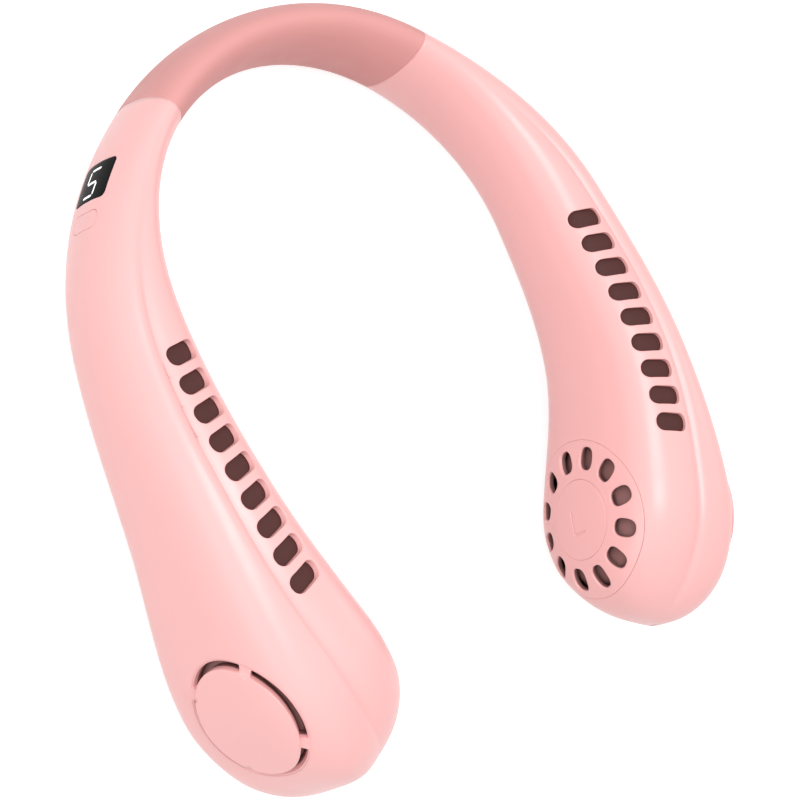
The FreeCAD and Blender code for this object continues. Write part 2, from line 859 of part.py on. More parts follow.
# Charging port: a round-ended tube open outward, with a tongue inside
port_start = -size("port_length + port_recess")
port_shell = port_prism("port_shell", -1, 0, port_start, size("port_length"))
bore_start = port_start + size("port_back")
port_bore = port_prism("port_bore", -1, -size("port_wall"), bore_start, size("port_length"))
port_tongue = block(
    "port_tongue", skin_axes(-1, size("port_station"), -size("port_drop"), port_start + size("port_wall")),
    "port_tongue_width", "port_tongue_thickness", "port_length - 2 * port_wall",
)
node("usb_port", fuse("charging_port", cut("port_tube", port_shell, port_bore), port_tongue))

# Motor and impeller

magnet_inner = "stator_radius + magnet_gap"
magnet_outer = magnet_inner + " + magnet_wall"
cup_outer = magnet_outer + " + cup_wall"
hub_outer = cup_outer + " + hub_wall"


def impeller(name, place):
    """Hub over the rotor cup, a web, two rims and curved blades."""
    body = turned(name, place, [
        (hub_outer, cup_outer, "cup_bottom", "cup_height + hub_wall"),
        (hub_outer, None, "cup_bottom + cup_height", "hub_wall"),
        ("wheel_radius", cup_outer + " + hub_wall / 2", "cup_bottom + cup_height / 2", "web_thickness"),
    ])
    sketch = sketch_at(body, name + "_blade", "cup_bottom")
    sweep = math.radians(size("blade_sweep"))
    first = V(size("blade_inner_radius"), 0, 0)
    reach = size("wheel_radius - rim_wall / 2")
    last = V(reach * math.cos(sweep), reach * math.sin(sweep), 0)
    chord = last - first
    middle = (first + last) / 2
    aside = V(-chord.y, chord.x, 0).normalize()
    curve = size("blade_curve")
    centre = middle + aside * math.sqrt(curve ** 2 - (chord.Length / 2) ** 2)
    start = math.atan2(first.y - centre.y, first.x - centre.x)
    end = math.atan2(last.y - centre.y, last.x - centre.x)
    if end < start:
        end += 2 * math.pi
    corners = []
    for radius, text in ((curve + size("blade_thickness / 2"), "blade_curve + blade_thickness / 2"),
                         (curve - size("blade_thickness / 2"), "blade_curve - blade_thickness / 2")):
        index = sketch.addGeometry(Part.ArcOfCircle(Part.Circle(centre, up, radius), start, end))
        constraint = sketch.addConstraint(Sketcher.Constraint("Radius", index, radius))
        sketch.setExpression("Constraints[%d]" % constraint, expression(text))
        corners.append([centre + V(math.cos(angle), math.sin(angle), 0) * radius for angle in (start, end)])
    for k in (0, 1):
        index = sketch.addGeometry(Part.LineSegment(corners[0][k], corners[1][k]))
        sketch.addConstraint(Sketcher.Constraint("Coincident", index, 1, 0, k + 1))
        sketch.addConstraint(Sketcher.Constraint("Coincident", index, 2, 1, k + 1))
    blade = pad(body, sketch, "blade_height")
    pattern = body.newObject("PartDesign::PolarPattern", name + "_blades")
    pattern.Originals = [blade]
    pattern.Axis = (sketch, ["N_Axis"])
    pattern.Angle = 360
    bind(pattern, Occurrences="blade_count")
    body.Tip = pattern
    for level in ("cup_bottom", "cup_bottom + blade_height - web_thickness"):
        rim = sketch_at(body, name + "_rim", level)
        draw_circle(rim, "wheel_radius")
        draw_circle(rim, "wheel_radius - rim_wall")
        pad(body, rim, "web_thickness")
    return body


seat = fan_axes(seat_depth)
spots = around(seat, int(size("screw_count")), size("screw_ring"))
flange_holes = fuse("flange_holes", *[
    cylinder("flange_hole", spot, "screw_radius + shaft_clearance", "overrun") for spot in spots
])
tube = turned("tube", seat, [
    ("flange_radius", "shaft_radius + shaft_clearance", base_level, "flange_height"),
    ("bearing_tube_radius", "shaft_radius + shaft_clearance", base_level, "bearing_tube_height"),
])
left_tube_base = cut("left_tube_base", tube, flange_holes)
disc = turned("disc", seat, [
    ("board_radius", "bearing_tube_radius + shaft_clearance", "flange_height", "board_thickness"),
])
left_disc_base = cut("left_disc_base", disc, flange_holes)
screws = []
for spot in spots:
    shank = cylinder("shank", moved(spot, 0, 0, -size("screw_depth - fit_clearance")), "screw_radius",
                     "screw_depth - fit_clearance + flange_height + board_thickness")
    head = cylinder("head", moved(spot, 0, 0, size("flange_height + board_thickness")), "screw_head_radius",
                    "screw_head_height")
    screws.append(fuse("screw", shank, head))

# Stator: a hub with teeth, a shoe on each and a coil round it
hub = turned("stator_hub", seat, [
    ("bearing_tube_radius + shaft_clearance + stator_hub_wall", "bearing_tube_radius + shaft_clearance",
     "stator_bottom", "stator_height"),
])
shoe_ring = turned("shoe_ring", seat, [
    ("stator_radius", "stator_radius - shoe_height", "stator_bottom", "stator_height"),
])
tooth_reach = "stator_radius - bearing_tube_radius - stator_hub_wall / 2"
coil_side = "tooth_width + 2 * coil_wall"
middle_reach = size("(stator_radius + bearing_tube_radius) / 2")
teeth, shoes, coils = [], [], []
for spot in around(moved(seat, 0, 0, size("stator_bottom")), int(size("stator_teeth")), middle_reach):
    teeth.append(block("tooth", spot, tooth_reach + " - shoe_height", "tooth_width", "stator_height"))
    shoes.append(block("shoe", spot, tooth_reach + " + shoe_height", coil_side, "stator_height"))
    coils.append(block(
        "coil", moved(spot, 0, 0, -size("coil_wall / 2")), tooth_reach + " - 3 * shoe_height", coil_side,
        "stator_height + coil_wall",
    ))
shoe_arcs = common("shoes", shoe_ring, fuse("shoe_bars", *shoes))
left_stator_base = fuse("left_stator_base", hub, *teeth, shoe_arcs)

# Both arms
left_bases = {
    "outer_shell": left_outer_base,
    "intake_cover": left_cover_base,
    "inner_shell": left_inner_base,
    "inner_grille": left_grille_base,
    "side_badge": left_badge_base,
    "band_coupler": left_coupler_base,
    "battery_tray": left_tray_base,
    "bearing_tube": left_tube_base,
    "motor_board": left_disc_base,
    "motor_screws": group("left_screws", *screws),
    "stator_core": left_stator_base,
    "coils": cut("left_windings", group("coil_bars", *coils), left_stator_base),
    # rotor: cup with its magnet ring on the shaft, inside the impeller's hub
    "rotor_cup": turned("cup", seat, [
        (cup_outer, magnet_outer, "cup_bottom", "cup_height"),
        (cup_outer, "shaft_radius", "cup_bottom + cup_height - cup_wall", "cup_wall"),
    ]),
    "magnet_ring": turned("magnets", seat, [
        (magnet_outer, magnet_inner, "cup_bottom + fit_clearance", "stator_height + cup_wall / 2"),
    ]),
    "motor_shaft": turned("shaft", seat, [
        ("shaft_radius", None, "shaft_foot_gap", "cup_bottom + cup_height - shaft_foot_gap"),
    ]),
    "impeller": impeller("wheel", seat),
    # lithium cell with its raised end
    "battery": turned("cell", cell_place, [
        ("battery_diameter / 2", None, base_level, "battery_length - battery_cap_height"),
        ("battery_cap_radius", None, "battery_length - battery_cap_height", "battery_cap_height"),
    ]),
}
for name, base in left_bases.items():
    node("left_" + name, base)
    node("right_" + name, mirrored("right_" + name, right_outer_base if name == "outer_shell" else base))

doc.recompute()

# Every object has to be sound before anything is written
for obj in doc.Objects:
    if "Invalid" in obj.State or "Error" in obj.State:
        raise RuntimeError("failed: " + obj.Name + " " + obj.Label)
for name, obj in nodes.items():
    if obj.Shape.isNull() or not obj.Shape.isValid():
        raise RuntimeError("no sound shape: " + name)
    print(name, len(obj.Shape.Solids), "solids", round(obj.Shape.Volume), "mm3")
for name, obj in nodes.items():
    obj.Shape.exportStep("parts/" + name + ".step")
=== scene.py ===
import json
import math
import bmesh
import bpy
import numpy as np
from mathutils import Matrix, Vector


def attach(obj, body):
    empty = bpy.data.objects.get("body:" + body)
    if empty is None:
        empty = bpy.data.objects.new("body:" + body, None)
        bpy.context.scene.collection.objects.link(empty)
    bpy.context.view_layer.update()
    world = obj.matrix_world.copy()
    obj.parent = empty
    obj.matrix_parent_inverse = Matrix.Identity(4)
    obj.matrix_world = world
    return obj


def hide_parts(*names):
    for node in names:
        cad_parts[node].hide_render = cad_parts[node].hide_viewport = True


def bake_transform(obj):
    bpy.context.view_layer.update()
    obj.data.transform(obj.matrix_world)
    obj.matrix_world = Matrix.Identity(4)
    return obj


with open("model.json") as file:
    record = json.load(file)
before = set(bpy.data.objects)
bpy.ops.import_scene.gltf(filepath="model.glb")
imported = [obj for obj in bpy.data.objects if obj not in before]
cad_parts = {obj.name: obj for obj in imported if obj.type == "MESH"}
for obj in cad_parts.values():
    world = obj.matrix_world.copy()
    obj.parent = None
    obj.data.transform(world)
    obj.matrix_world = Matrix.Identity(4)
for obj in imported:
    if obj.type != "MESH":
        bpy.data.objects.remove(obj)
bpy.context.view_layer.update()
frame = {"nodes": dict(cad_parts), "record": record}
print("frame loaded")

# form of the collar, in millimetres and degrees: tangent arcs in plan, sections at five stations
collar = {
    "arcRadii": [71.6, 85.2, 263.0, 126.0], "arcTurns": [38.4, 46.1, 21.8, 15.1],
    "thickness": [14.6, 27.0, 33.4, 45.8, 40.4], "height": [37.0, 37.8, 46.4, 58.4, 50.0],
    "rise": [0.0, 7.4, 13.4, 9.9, 11.1], "outerLean": 0.21, "innerLean": 0.07, "bandSquare": 2.0,
    "bulbSquare": 3.3, "faceSquare": 4.2, "tipPlan": 20.4, "tipSide": 40.4, "tipSquare": 2.2,
    "shift": [0.0, 99.9757, 19.0285], "wall": 1.8, "seamShare": 0.22,
    "creaseShare": [-0.22, 0.19, 0.18, 0.02, 0.0], "creaseDepth": 0.9, "creaseWidth": [2.8, 1.3],
    "creaseLine": 0.4, "lineWidth": 0.5, "creaseFrom": [70, 40], "creaseTo": [248, 16],
    "creaseFace": [0.55, 0.2],
}
# rims: quarter turn of a lip, flat before it, straight run after it, ledge behind it, share of the wall
rim = {"turns": np.radians([0, 30, 60, 90]), "flat": 0.2, "run": 0.15, "ledge": 0.4, "share": 0.9}
wall = collar["wall"]
up = np.array([0.0, 0.0, 1.0])
radii = np.array(collar["arcRadii"])
turns = np.radians(collar["arcTurns"])
arcStart = np.concatenate([[0.0], np.cumsum(radii * turns)])
arcHeading = np.concatenate([[0.0], np.cumsum(turns)])
arcX = np.concatenate([[0.0], np.cumsum(radii * np.diff(np.sin(arcHeading)))])
arcY = np.concatenate([[0.0], np.cumsum(radii * np.diff(np.cos(arcHeading)))])
jointAt, shoulderAt, fanAt, tipAt = arcStart[1:]
keyAt = np.array([jointAt, shoulderAt, (shoulderAt + fanAt) / 2, fanAt, tipAt])


def keyed(name, s):
    # cubic through the five values, level where the arm meets the band
    v = np.array(collar[name], float)
    slope = np.zeros(5)
    slope[1:4] = (v[2:] - v[:-2]) / (keyAt[2:] - keyAt[:-2])
    slope[4] = (v[4] - v[3]) / (keyAt[4] - keyAt[3])
    s = np.clip(s, keyAt[0], keyAt[-1])
    i = np.clip(np.searchsorted(keyAt, s, side="right") - 1, 0, 3)
    span = keyAt[i + 1] - keyAt[i]
    q = (s - keyAt[i]) / span
    start = (1 + 2 * q) * (1 - q) ** 2 * v[i] + q * (1 - q) ** 2 * span * slope[i]
    return start + q * q * (3 - 2 * q) * v[i + 1] + q * q * (q - 1) * span * slope[i + 1]


def spineAt(s):
    # point in plan and heading, walked along the arc that holds the station
    i = np.clip(np.searchsorted(arcStart, s, side="right") - 1, 0, 3)
    h = arcHeading[i] + (s - arcStart[i]) / radii[i]
    x = arcX[i] + radii[i] * (np.sin(h) - np.sin(arcHeading[i]))
    y = arcY[i] + radii[i] * (np.cos(h) - np.cos(arcHeading[i]))
    return x, y, h


def bulbShare(s):
    return np.clip((s - jointAt) / (fanAt - jointAt), 0, 1)


def squareness(s, outer):
    share = bulbShare(s)
    base = collar["bandSquare"] + (collar["bulbSquare"] - collar["bandSquare"]) * share
    return base + np.where(outer, (collar["faceSquare"] - collar["bulbSquare"]) * share ** 3, 0)


def lean(s, outer):
    share = bulbShare(s)
    return np.where(outer, collar["outerLean"], collar["innerLean"]) * share ** 2 * (3 - 2 * share)


def halves(s, inset):
    # half thickness and half height, both rounded off towards the tip
    power = collar["tipSquare"]
    found = []
    for name, rounding in (("thickness", "tipPlan"), ("height", "tipSide")):
        q = np.clip((s - tipAt + collar[rounding]) / (collar[rounding] - inset), 0, 1)
        found.append((keyed(name, s) / 2 - inset) * (1 - q ** power) ** (1 / power))
    return found


def section(s, psi, inset):
    # rounded four-sided section: a superellipse by its polar angle, leaning in at the top
    cx, cy = np.cos(psi), np.sin(psi)
    m = squareness(s, cx > 0)
    rho = (np.abs(cx) ** m + np.abs(cy) ** m) ** (-1 / m)
    halfA, halfB = halves(s, inset)
    return halfA * cx * rho * (1 - lean(s, cx > 0) * cy * rho), halfB * cy * rho


def skin(s, psi, inset):
    # the section carried along the spine; an inset draws it in, at the tip too
    s = s - inset * np.clip((s - tipAt + collar["tipSide"]) / collar["tipSide"], 0, 1)
    u, w = section(s, psi, inset)
    x, y, h = spineAt(s)
    z = keyed("rise", s) + w
    return np.stack([x + np.sin(h) * u, y + np.cos(h) * u, z], -1) + collar["shift"]


def psiOf(s, u, topSide):
    # angle at which the top or the bottom of the section lies at an outward offset
    halfA = halves(s, 0)[0]
    y = np.ones_like(s)
    for step in range(6):
        x = np.clip(u / np.maximum(halfA * (1 - lean(s, u > 0) * y * topSide), 1e-6), -1, 1)
        m = squareness(s, u > 0)
        y = (1 - np.abs(x) ** m) ** (1 / m)
    return np.arctan2(topSide * y, x)


def seamOffset(s):
    return collar["seamShare"] * keyed("thickness", s) / 2


def creaseOffset(s):
    return keyed("creaseShare", s) * keyed("thickness", s) / 2


def casing(s, psi, inset):
    # the skin with a soft valley along the top and a finer line at its middle, v and g depths:
    # v exp(-(off / width)^2) + g exp(-|off| / line); it fades in past the panel and out at the tip
    off = section(s, psi, 0)[0] - creaseOffset(s)
    begin, stop, low = collar["creaseFrom"], collar["creaseTo"], collar["creaseFace"]
    fade = np.clip((s - begin[0]) / begin[1], 0, 1) * np.clip((stop[0] - s) / stop[1], 0, 1)
    face = np.clip((np.sin(psi) - low[0]) / low[1], 0, 1)
    width = np.where(off < 0, *collar["creaseWidth"])
    dip = collar["creaseDepth"] * np.exp(-(off / width) ** 2)
    dip = (dip + collar["creaseLine"] * np.exp(-np.abs(off) / collar["lineWidth"])) * fade * face
    return skin(s, psi, inset + dip * np.clip(1 - inset / wall, 0, 1))


def planeAt(s, lift, face=0):
    # flat frame at a station: a runs to the tip, b upward; face 1 lies square on the outer skin
    s = np.array(float(s))
    x, y, h = spineAt(s)
    along = np.array([np.cos(h), -np.sin(h), 0.0])
    outward = np.array([np.sin(h), np.cos(h), 0.0])
    origin = np.array([x, y, keyed("rise", s) + lift]) + collar["shift"]
    if not face:
        return {"o": origin, "a": along, "b": up, "n": outward}
    reach = [faceOffset(s, lift + step) for step in (-wall, 0, wall)]
    tilt = math.atan2(reach[0] - reach[2], 2 * wall)
    facing = outward * math.cos(tilt) + up * math.sin(tilt)
    upward = up * math.cos(tilt) - outward * math.sin(tilt)
    return {"o": origin + outward * reach[1], "a": along, "b": upward, "n": facing}


def faceOffset(s, lift):
    # outward offset of the outer skin at a height above the middle
    y = lift / halves(s, 0)[1]
    m = squareness(s, True)
    x = (1 - np.abs(y) ** m) ** (1 / m)
    return float(section(s, np.arctan2(y, x), 0)[0])


def flat(plane, points):
    return np.stack([(points - plane["o"]) @ plane["a"], (points - plane["o"]) @ plane["b"]], -1)


def onSkin(plane, p, q, s, psi):
    # Newton steps on station and angle until the skin lies over p, q of the plane
    s, psi = np.array(s, float), np.array(psi, float)
    for step in range(16):
        here = flat(plane, skin(s, psi, 0))
        ds = (flat(plane, skin(s + 0.02, psi, 0)) - here) / 0.02
        da = (flat(plane, skin(s, psi + 0.001, 0)) - here) / 0.001
        rp, rq = p - here[..., 0], q - here[..., 1]
        det = ds[..., 0] * da[..., 1] - ds[..., 1] * da[..., 0]
        det = np.where(np.abs(det) < 1e-6, 1e-6, det)
        s = np.minimum(s + np.clip((rp * da[..., 1] - rq * da[..., 0]) / det, -4, 4), tipAt - 0.05)
        psi = psi + np.clip((rq * ds[..., 0] - rp * ds[..., 1]) / det, -0.25, 0.25)
    return s, psi


# meshes are gathered as blocks of points and quads, then merged

def gridBlock(points, keep=None, flip=False, finish=0):
    ni, nj = points.shape[:2]
    n = np.arange(ni * nj).reshape(ni, nj)
    quads = np.stack([n[:-1, :-1], n[1:, :-1], n[1:, 1:], n[:-1, 1:]], -1)
    quads = quads.reshape(-1, 4) if keep is None else quads[keep]
    return points.reshape(-1, 3), quads[:, ::-1] if flip else quads, np.full(len(quads), finish)


def ringBlock(rings, finish=0, shadeFromRing=None):
    # strips between closed rings; from a given ring on they take the second finish, which paints the shade
    # deep in a hole
    points = np.stack(rings)
    points = np.concatenate([points, points[:, :1]], 1)
    block = gridBlock(points, finish=finish)
    if shadeFromRing is not None:
        strip = np.repeat(np.arange(len(rings) - 1), points.shape[1] - 1)
        block[2][strip >= shadeFromRing] = 1
    return block


def loopOf(array, i0, i1, j0, j1):
    # points along the edge of a block of a grid, in order and once round
    return np.concatenate([array[i0, j0:j1], array[i0:i1, j1], array[i1, j1:j0:-1], array[i1:i0:-1, j0]])


def outlinePoints(p, q, hole, grow):
    # the point of a rounded box, which may be turned, or of an oval, that lies nearest to each edge point;
    # the oval is |x / a|^k + |y / b|^k = 1
    c, s = math.cos(hole.get("turn", 0.0)), math.sin(hole.get("turn", 0.0))
    p, q = p * c - q * s, p * s + q * c
    if hole.get("oval"):
        turn = np.arctan2(q / hole["halfB"], p / hole["halfA"])
        power = hole["oval"]
        full = (np.abs(np.cos(turn)) ** power + np.abs(np.sin(turn)) ** power) ** (-1 / power)
        op = (hole["halfA"] + grow) * full * np.cos(turn)
        oq = (hole["halfB"] + grow) * full * np.sin(turn)
    else:
        cp = np.clip(p, hole["corner"] - hole["halfA"], hole["halfA"] - hole["corner"])
        cq = np.clip(q, hole["corner"] - hole["halfB"], hole["halfB"] - hole["corner"])
        size = np.maximum(np.hypot(p - cp, q - cq), 1e-9)
        op = cp + (hole["corner"] + grow) * (p - cp) / size
        oq = cq + (hole["corner"] + grow) * (q - cq) / size
    return op * c + oq * s, oq * c - op * s


def holeBlock(gridA, gridB, hole, place, depth):
    # rings from the block's edge to the outline, over its rounded lip, down the wall and back inside
    a, b = loopOf(gridA, *hole["block"]), loopOf(gridB, *hole["block"])
    p, q = hole["toFlat"](a, b)
    lip = hole["lip"]

    def outline(grow):
        return hole["fromFlat"](*outlinePoints(p, q, hole, grow), a, b)

    farA, farB = outline(lip + rim["flat"])
    rings = [place(a, b, 0.0)]
    for k in range(1, hole["steps"] + 1):
        share = k / (hole["steps"] + 1)
        rings.append(place(a + (farA - a) * share, b + (farB - b) * share, 0.0))
    rings.append(place(farA, farB, 0.0))
    for turn in rim["turns"]:
        rings.append(place(*outline(lip * (1 - math.sin(turn))), lip * (1 - math.cos(turn))))
    edgeA, edgeB = outline(0.0)
    backA, backB = outline(rim["ledge"])
    rings.append(place(edgeA, edgeB, lip + rim["run"]))
    # the wall keeps the skin's colour down to pinkDepth; from there on the rings take the second finish,
    # painted shade
    rings.append(place(edgeA, edgeB, hole["pinkDepth"]))
    inside = len(rings) - 1
    rings.append(place(edgeA, edgeB, depth))
    rings.append(place(backA, backB, depth))
    rings.append(place((backA + a) / 2, (backB + b) / 2, depth))
    rings.append(place(a, b, depth))
    return ringBlock(rings, shadeFromRing=inside)


def sheetBlocks(gridA, gridB, place, depth, holes=(), innerShadeFinish=0):
    # outer and inner skin over one grid, with the blocks of its holes left out and rimmed; the inner skin
    # may take the second finish, which paints the shade of the hollow inside
    keep = np.ones((gridA.shape[0] - 1, gridA.shape[1] - 1), bool)
    blocks = []
    for hole in holes:
        i0, i1, j0, j1 = hole["block"]
        keep[i0:i1, j0:j1] = False
        blocks.append(holeBlock(gridA, gridB, hole, place, depth))
    blocks.append(gridBlock(place(gridA, gridB, 0.0), keep))
    blocks.append(gridBlock(place(gridA, gridB, depth), keep, flip=True, finish=innerShadeFinish))
    return blocks


def shadeSlab(gridA, gridB, place, top, bottom):
    # closed thin sheet between two depths, in the second finish, which is painted shade
    n, m = gridA.shape[0] - 1, gridA.shape[1] - 1
    a, b = loopOf(gridA, 0, n, 0, m), loopOf(gridB, 0, n, 0, m)
    return [
        gridBlock(place(gridA, gridB, top), finish=1),
        gridBlock(place(gridA, gridB, bottom), flip=True, finish=1),
        ringBlock([place(a, b, bottom), place(a, b, top)], finish=1),
    ]


def linked(name, data):
    made = bpy.data.objects.new(name, data)
    bpy.context.scene.collection.objects.link(made)
    return made


def capBlock(ring, flip):
    # flat end: a fan from its ring to the middle
    middle = ring[:-1].mean(0)
    return gridBlock(np.stack([ring, np.repeat(middle[None], len(ring), 0)]), flip=flip)


def makePiece(name, blocks, materials, side=1, sharpCaps=False):
    count = np.cumsum([0] + [len(b[0]) for b in blocks])
    points = np.concatenate([b[0] for b in blocks]) * [side * 0.001, 0.001, 0.001]
    quads = np.concatenate([b[1] + n for b, n in zip(blocks, count)])
    finish = np.concatenate([b[2] for b in blocks])
    c = points[quads]
    volume = np.einsum("ij,ij->i", c[:, 0], np.cross(c[:, 1], c[:, 2])).sum()
    volume += np.einsum("ij,ij->i", c[:, 0], np.cross(c[:, 2], c[:, 3])).sum()
    if volume < 0:
        quads = quads[:, ::-1]
    mesh = bpy.data.meshes.new(name)
    mesh.from_pydata(points.tolist(), [], quads.tolist())
    mesh.polygons.foreach_set("material_index", finish.astype(np.int32))
    bm = bmesh.new()
    bm.from_mesh(mesh)
    bmesh.ops.remove_doubles(bm, verts=bm.verts, dist=1e-6)
    bm.to_mesh(mesh)
    bm.free()
    edgeOf = np.zeros(len(mesh.loops), np.int32)
    mesh.loops.foreach_get("edge_index", edgeOf)
    opened = int((np.bincount(edgeOf, minlength=len(mesh.edges)) != 2).sum())
    mesh.polygons.foreach_set("use_smooth", np.ones(len(mesh.polygons), bool))
    if sharpCaps:
        mesh.set_sharp_from_angle(angle=0.9)
    for material in materials:
        mesh.materials.append(material)
    piece = linked(name, mesh)
    print(name, len(mesh.polygons), "faces, open edges", opened)
    return piece


# shader groups

def newGroup(name, inputs, outputs):
    tree = bpy.data.node_groups.new(name, "ShaderNodeTree")
    for label, kind, value in inputs:
        socket = tree.interface.new_socket(name=label, in_out="INPUT", socket_type=kind)
        socket.default_value = value
    for label, kind in outputs:
        tree.interface.new_socket(name=label, in_out="OUTPUT", socket_type=kind)
    return tree, tree.nodes.new("NodeGroupInput"), tree.nodes.new("NodeGroupOutput")


def addNode(tree, kind, values=None, **settings):
    node = tree.nodes.new(kind)
    for key, value in settings.items():
        setattr(node, key, value)
    for key, value in (values or {}).items():
        if isinstance(value, bpy.types.NodeSocket):
            tree.links.new(value, node.inputs[key])
        else:
            node.inputs[key].default_value = value
    return node


def linear(r, g, b):
    # display colour from 0 to 255 as linear light
    c = np.array([r, g, b]) / 255
    c = np.where(c <= 0.04045, c / 12.92, ((c + 0.055) / 1.055) ** 2.4)
    return (*[float(v) for v in c], 1.0)


number, colour, vector = "NodeSocketFloat", "NodeSocketColor", "NodeSocketVector"


def closeGroup(tree, start, end, tone, gloss, bump):
    # the colour follows the first noise, the roughness the second
    span = addNode(tree, "ShaderNodeMath", {0: tone.outputs["Fac"], 1: 0.5}, operation="SUBTRACT")
    gain = addNode(tree, "ShaderNodeMath", {
        0: span.outputs[0], 1: start.outputs["Tone"], 2: 1.0,
    }, operation="MULTIPLY_ADD")
    toned = addNode(tree, "ShaderNodeVectorMath", {
        0: start.outputs["Color"], "Scale": gain.outputs[0],
    }, operation="SCALE")
    rough = addNode(tree, "ShaderNodeMapRange", {
        "Value": gloss.outputs["Fac"], "From Min": 0.3, "From Max": 0.7,
        "To Min": start.outputs["Rough Low"], "To Max": start.outputs["Rough High"],
    })
    for made, name in ((toned, "Color"), (rough, "Roughness"), (bump, "Normal")):
        tree.links.new(made.outputs[0], end.inputs[name])
    return tree


finishOutputs = [("Color", colour), ("Roughness", number), ("Normal", vector)]


def buildMoulded():
    # moulded skin: slow drift of tone and gloss, fine grain
    tree, start, end = newGroup("mouldedSkin", [
        ("Color", colour, (0.8, 0.8, 0.8, 1)), ("Tone", number, 0.02), ("Drift Scale", number, 20.0),
        ("Rough Low", number, 0.3), ("Rough High", number, 0.4),
        ("Grain", number, 0.1), ("Grain Scale", number, 2500.0),
    ], finishOutputs)
    where = addNode(tree, "ShaderNodeTexCoord").outputs["Object"]
    drift, gloss, grain = (
        addNode(tree, "ShaderNodeTexNoise", {"Vector": where, "Scale": scale, "Detail": detail})
        for scale, detail in (
            (start.outputs["Drift Scale"], 3.0), (140.0, 4.0), (start.outputs["Grain Scale"], 2.0),
        )
    )
    bump = addNode(tree, "ShaderNodeBump", {
        "Strength": start.outputs["Grain"], "Distance": 0.0001, "Height": grain.outputs["Fac"],
    })
    return closeGroup(tree, start, end, drift, gloss, bump)


def buildDrawn():
    # worked metal: streaks along one way, darker in the low spots
    tree, start, end = newGroup("drawnMetal", [
        ("Color", colour, (0.6, 0.6, 0.6, 1)), ("Tone", number, 0.2),
        ("Stretch", vector, (300.0, 300.0, 4000.0)),
        ("Rough Low", number, 0.25), ("Rough High", number, 0.45),
    ], finishOutputs)
    where = addNode(tree, "ShaderNodeTexCoord").outputs["Object"]
    pulled = addNode(tree, "ShaderNodeVectorMath", {
        0: where, 1: start.outputs["Stretch"],
    }, operation="MULTIPLY")
    streak = addNode(tree, "ShaderNodeTexNoise", {
        "Vector": pulled.outputs[0], "Scale": 1.0, "Detail": 4.0,
    })
    bump = addNode(tree, "ShaderNodeBump", {
        "Strength": 0.15, "Distance": 0.0001, "Height": streak.outputs["Fac"],
    })
    return closeGroup(tree, start, end, streak, streak, bump)


mouldedSkin = buildMoulded()
drawnMetal = buildDrawn()


def newMaterial(name, group, values, **sockets):
    material = bpy.data.materials.new(name)
    material.use_nodes = True
    tree = material.node_tree
    shader = tree.nodes["Principled BSDF"]
    finish = addNode(tree, "ShaderNodeGroup", node_tree=group)
    for key, value in values.items():
        finish.inputs[key].default_value = value
    for given, taken in (("Color", "Base Color"), ("Roughness", "Roughness"), ("Normal", "Normal")):
        tree.links.new(finish.outputs[given], shader.inputs[taken])
    for key, value in sockets.items():
        shader.inputs[key.replace("_", " ")].default_value = value
    return material


def moulded(name, shade, tone, drift, rough, grain, grainScale=2500.0, **sockets):
    return newMaterial(name, mouldedSkin, {
        "Color": linear(*shade), "Tone": tone, "Drift Scale": drift, "Rough Low": rough[0],
        "Rough High": rough[1], "Grain": grain, "Grain Scale": grainScale,
    }, **sockets)


def worked(name, shade, stretch=(300.0, 300.0, 4000.0), tone=0.2, rough=(0.25, 0.45), metallic=1.0):
    return newMaterial(name, drawnMetal, {
        "Color": (*shade, 1), "Tone": tone, "Stretch": stretch, "Rough Low": rough[0],
        "Rough High": rough[1],
    }, Metallic=metallic)


# moulded finishes: shade, change of tone, its scale, range of roughness, grain
pinkCasing = moulded("pinkCasing", (248, 186, 184), 0.03, 16.0, (0.30, 0.37), 0.05, Specular_IOR_Level=0.5)
# painted shade: brown for the inner skin, the deep walls and the ring behind the grille's ovals and the
# intake's arcs, standing for the shade inside the arm
openingPaintedShade = moulded("openingPaintedShade", (152, 110, 107), 0.12, 60.0, (0.5, 0.65), 0.15)
# painted shade: dark brown for the casing's inner skin, the slot walls below the pink and the sheet under
# the slots, standing for the shade inside the arm
casingPaintedShade = moulded("casingPaintedShade", (82, 50, 48), 0.12, 60.0, (0.5, 0.65), 0.15, Specular_IOR_Level=0.15)
bandSilicone = moulded("bandSilicone", (221, 156, 153), 0.05, 30.0, (0.52, 0.64), 0.25, 3200.0,
                       Specular_IOR_Level=0.35)
smokedLens = moulded("smokedLens", (28, 28, 29), 0.2, 90.0, (0.2, 0.28), 0.01, IOR=1.06)
slotFinish = {
    # the inner plastic parts are real; their warm brown is darkened to paint the shade they sit in inside
    # the arm
    "inner_plastic": moulded("ductPlasticShaded", (120, 88, 86), 0.12, 70.0, (0.45, 0.6), 0.2),
    "board_green": moulded("boardMask", (20, 92, 58), 0.35, 420.0, (0.3, 0.5), 0.3),
    "module_white": moulded("modulePlastic", (226, 226, 222), 0.06, 200.0, (0.4, 0.55), 0.1),
    "switch_black": moulded("switchPlastic", (34, 34, 36), 0.15, 300.0, (0.45, 0.6), 0.2),
    "cable_black": moulded("cableJacket", (30, 30, 32), 0.15, 150.0, (0.5, 0.65), 0.3),
    "cell_wrap": moulded("cellWrap", (70, 124, 158), 0.1, 80.0, (0.28, 0.4), 0.06),
    "spring_steel": worked("springSteel", (0.62, 0.62, 0.64)),
    "steel": worked("turnedSteel", (0.66, 0.66, 0.68), (2500.0, 400.0, 400.0)),
    "bearing_bronze": worked("sinteredBronze", (0.60, 0.40, 0.18), (1500.0, 1500.0, 1500.0),
                             rough=(0.4, 0.6)),
    "winding_copper": worked("enamelledWire", (0.62, 0.24, 0.10), (6000.0, 300.0, 300.0), tone=0.5),
    "magnet_dark": worked("bondedMagnet", (0.10, 0.10, 0.11), (1800.0, 1800.0, 1800.0), rough=(0.5, 0.7),
                          metallic=0.6),
}
nodeSlot = {part["node"]: part["material_slot"] for part in frame["record"]["subparts"]}
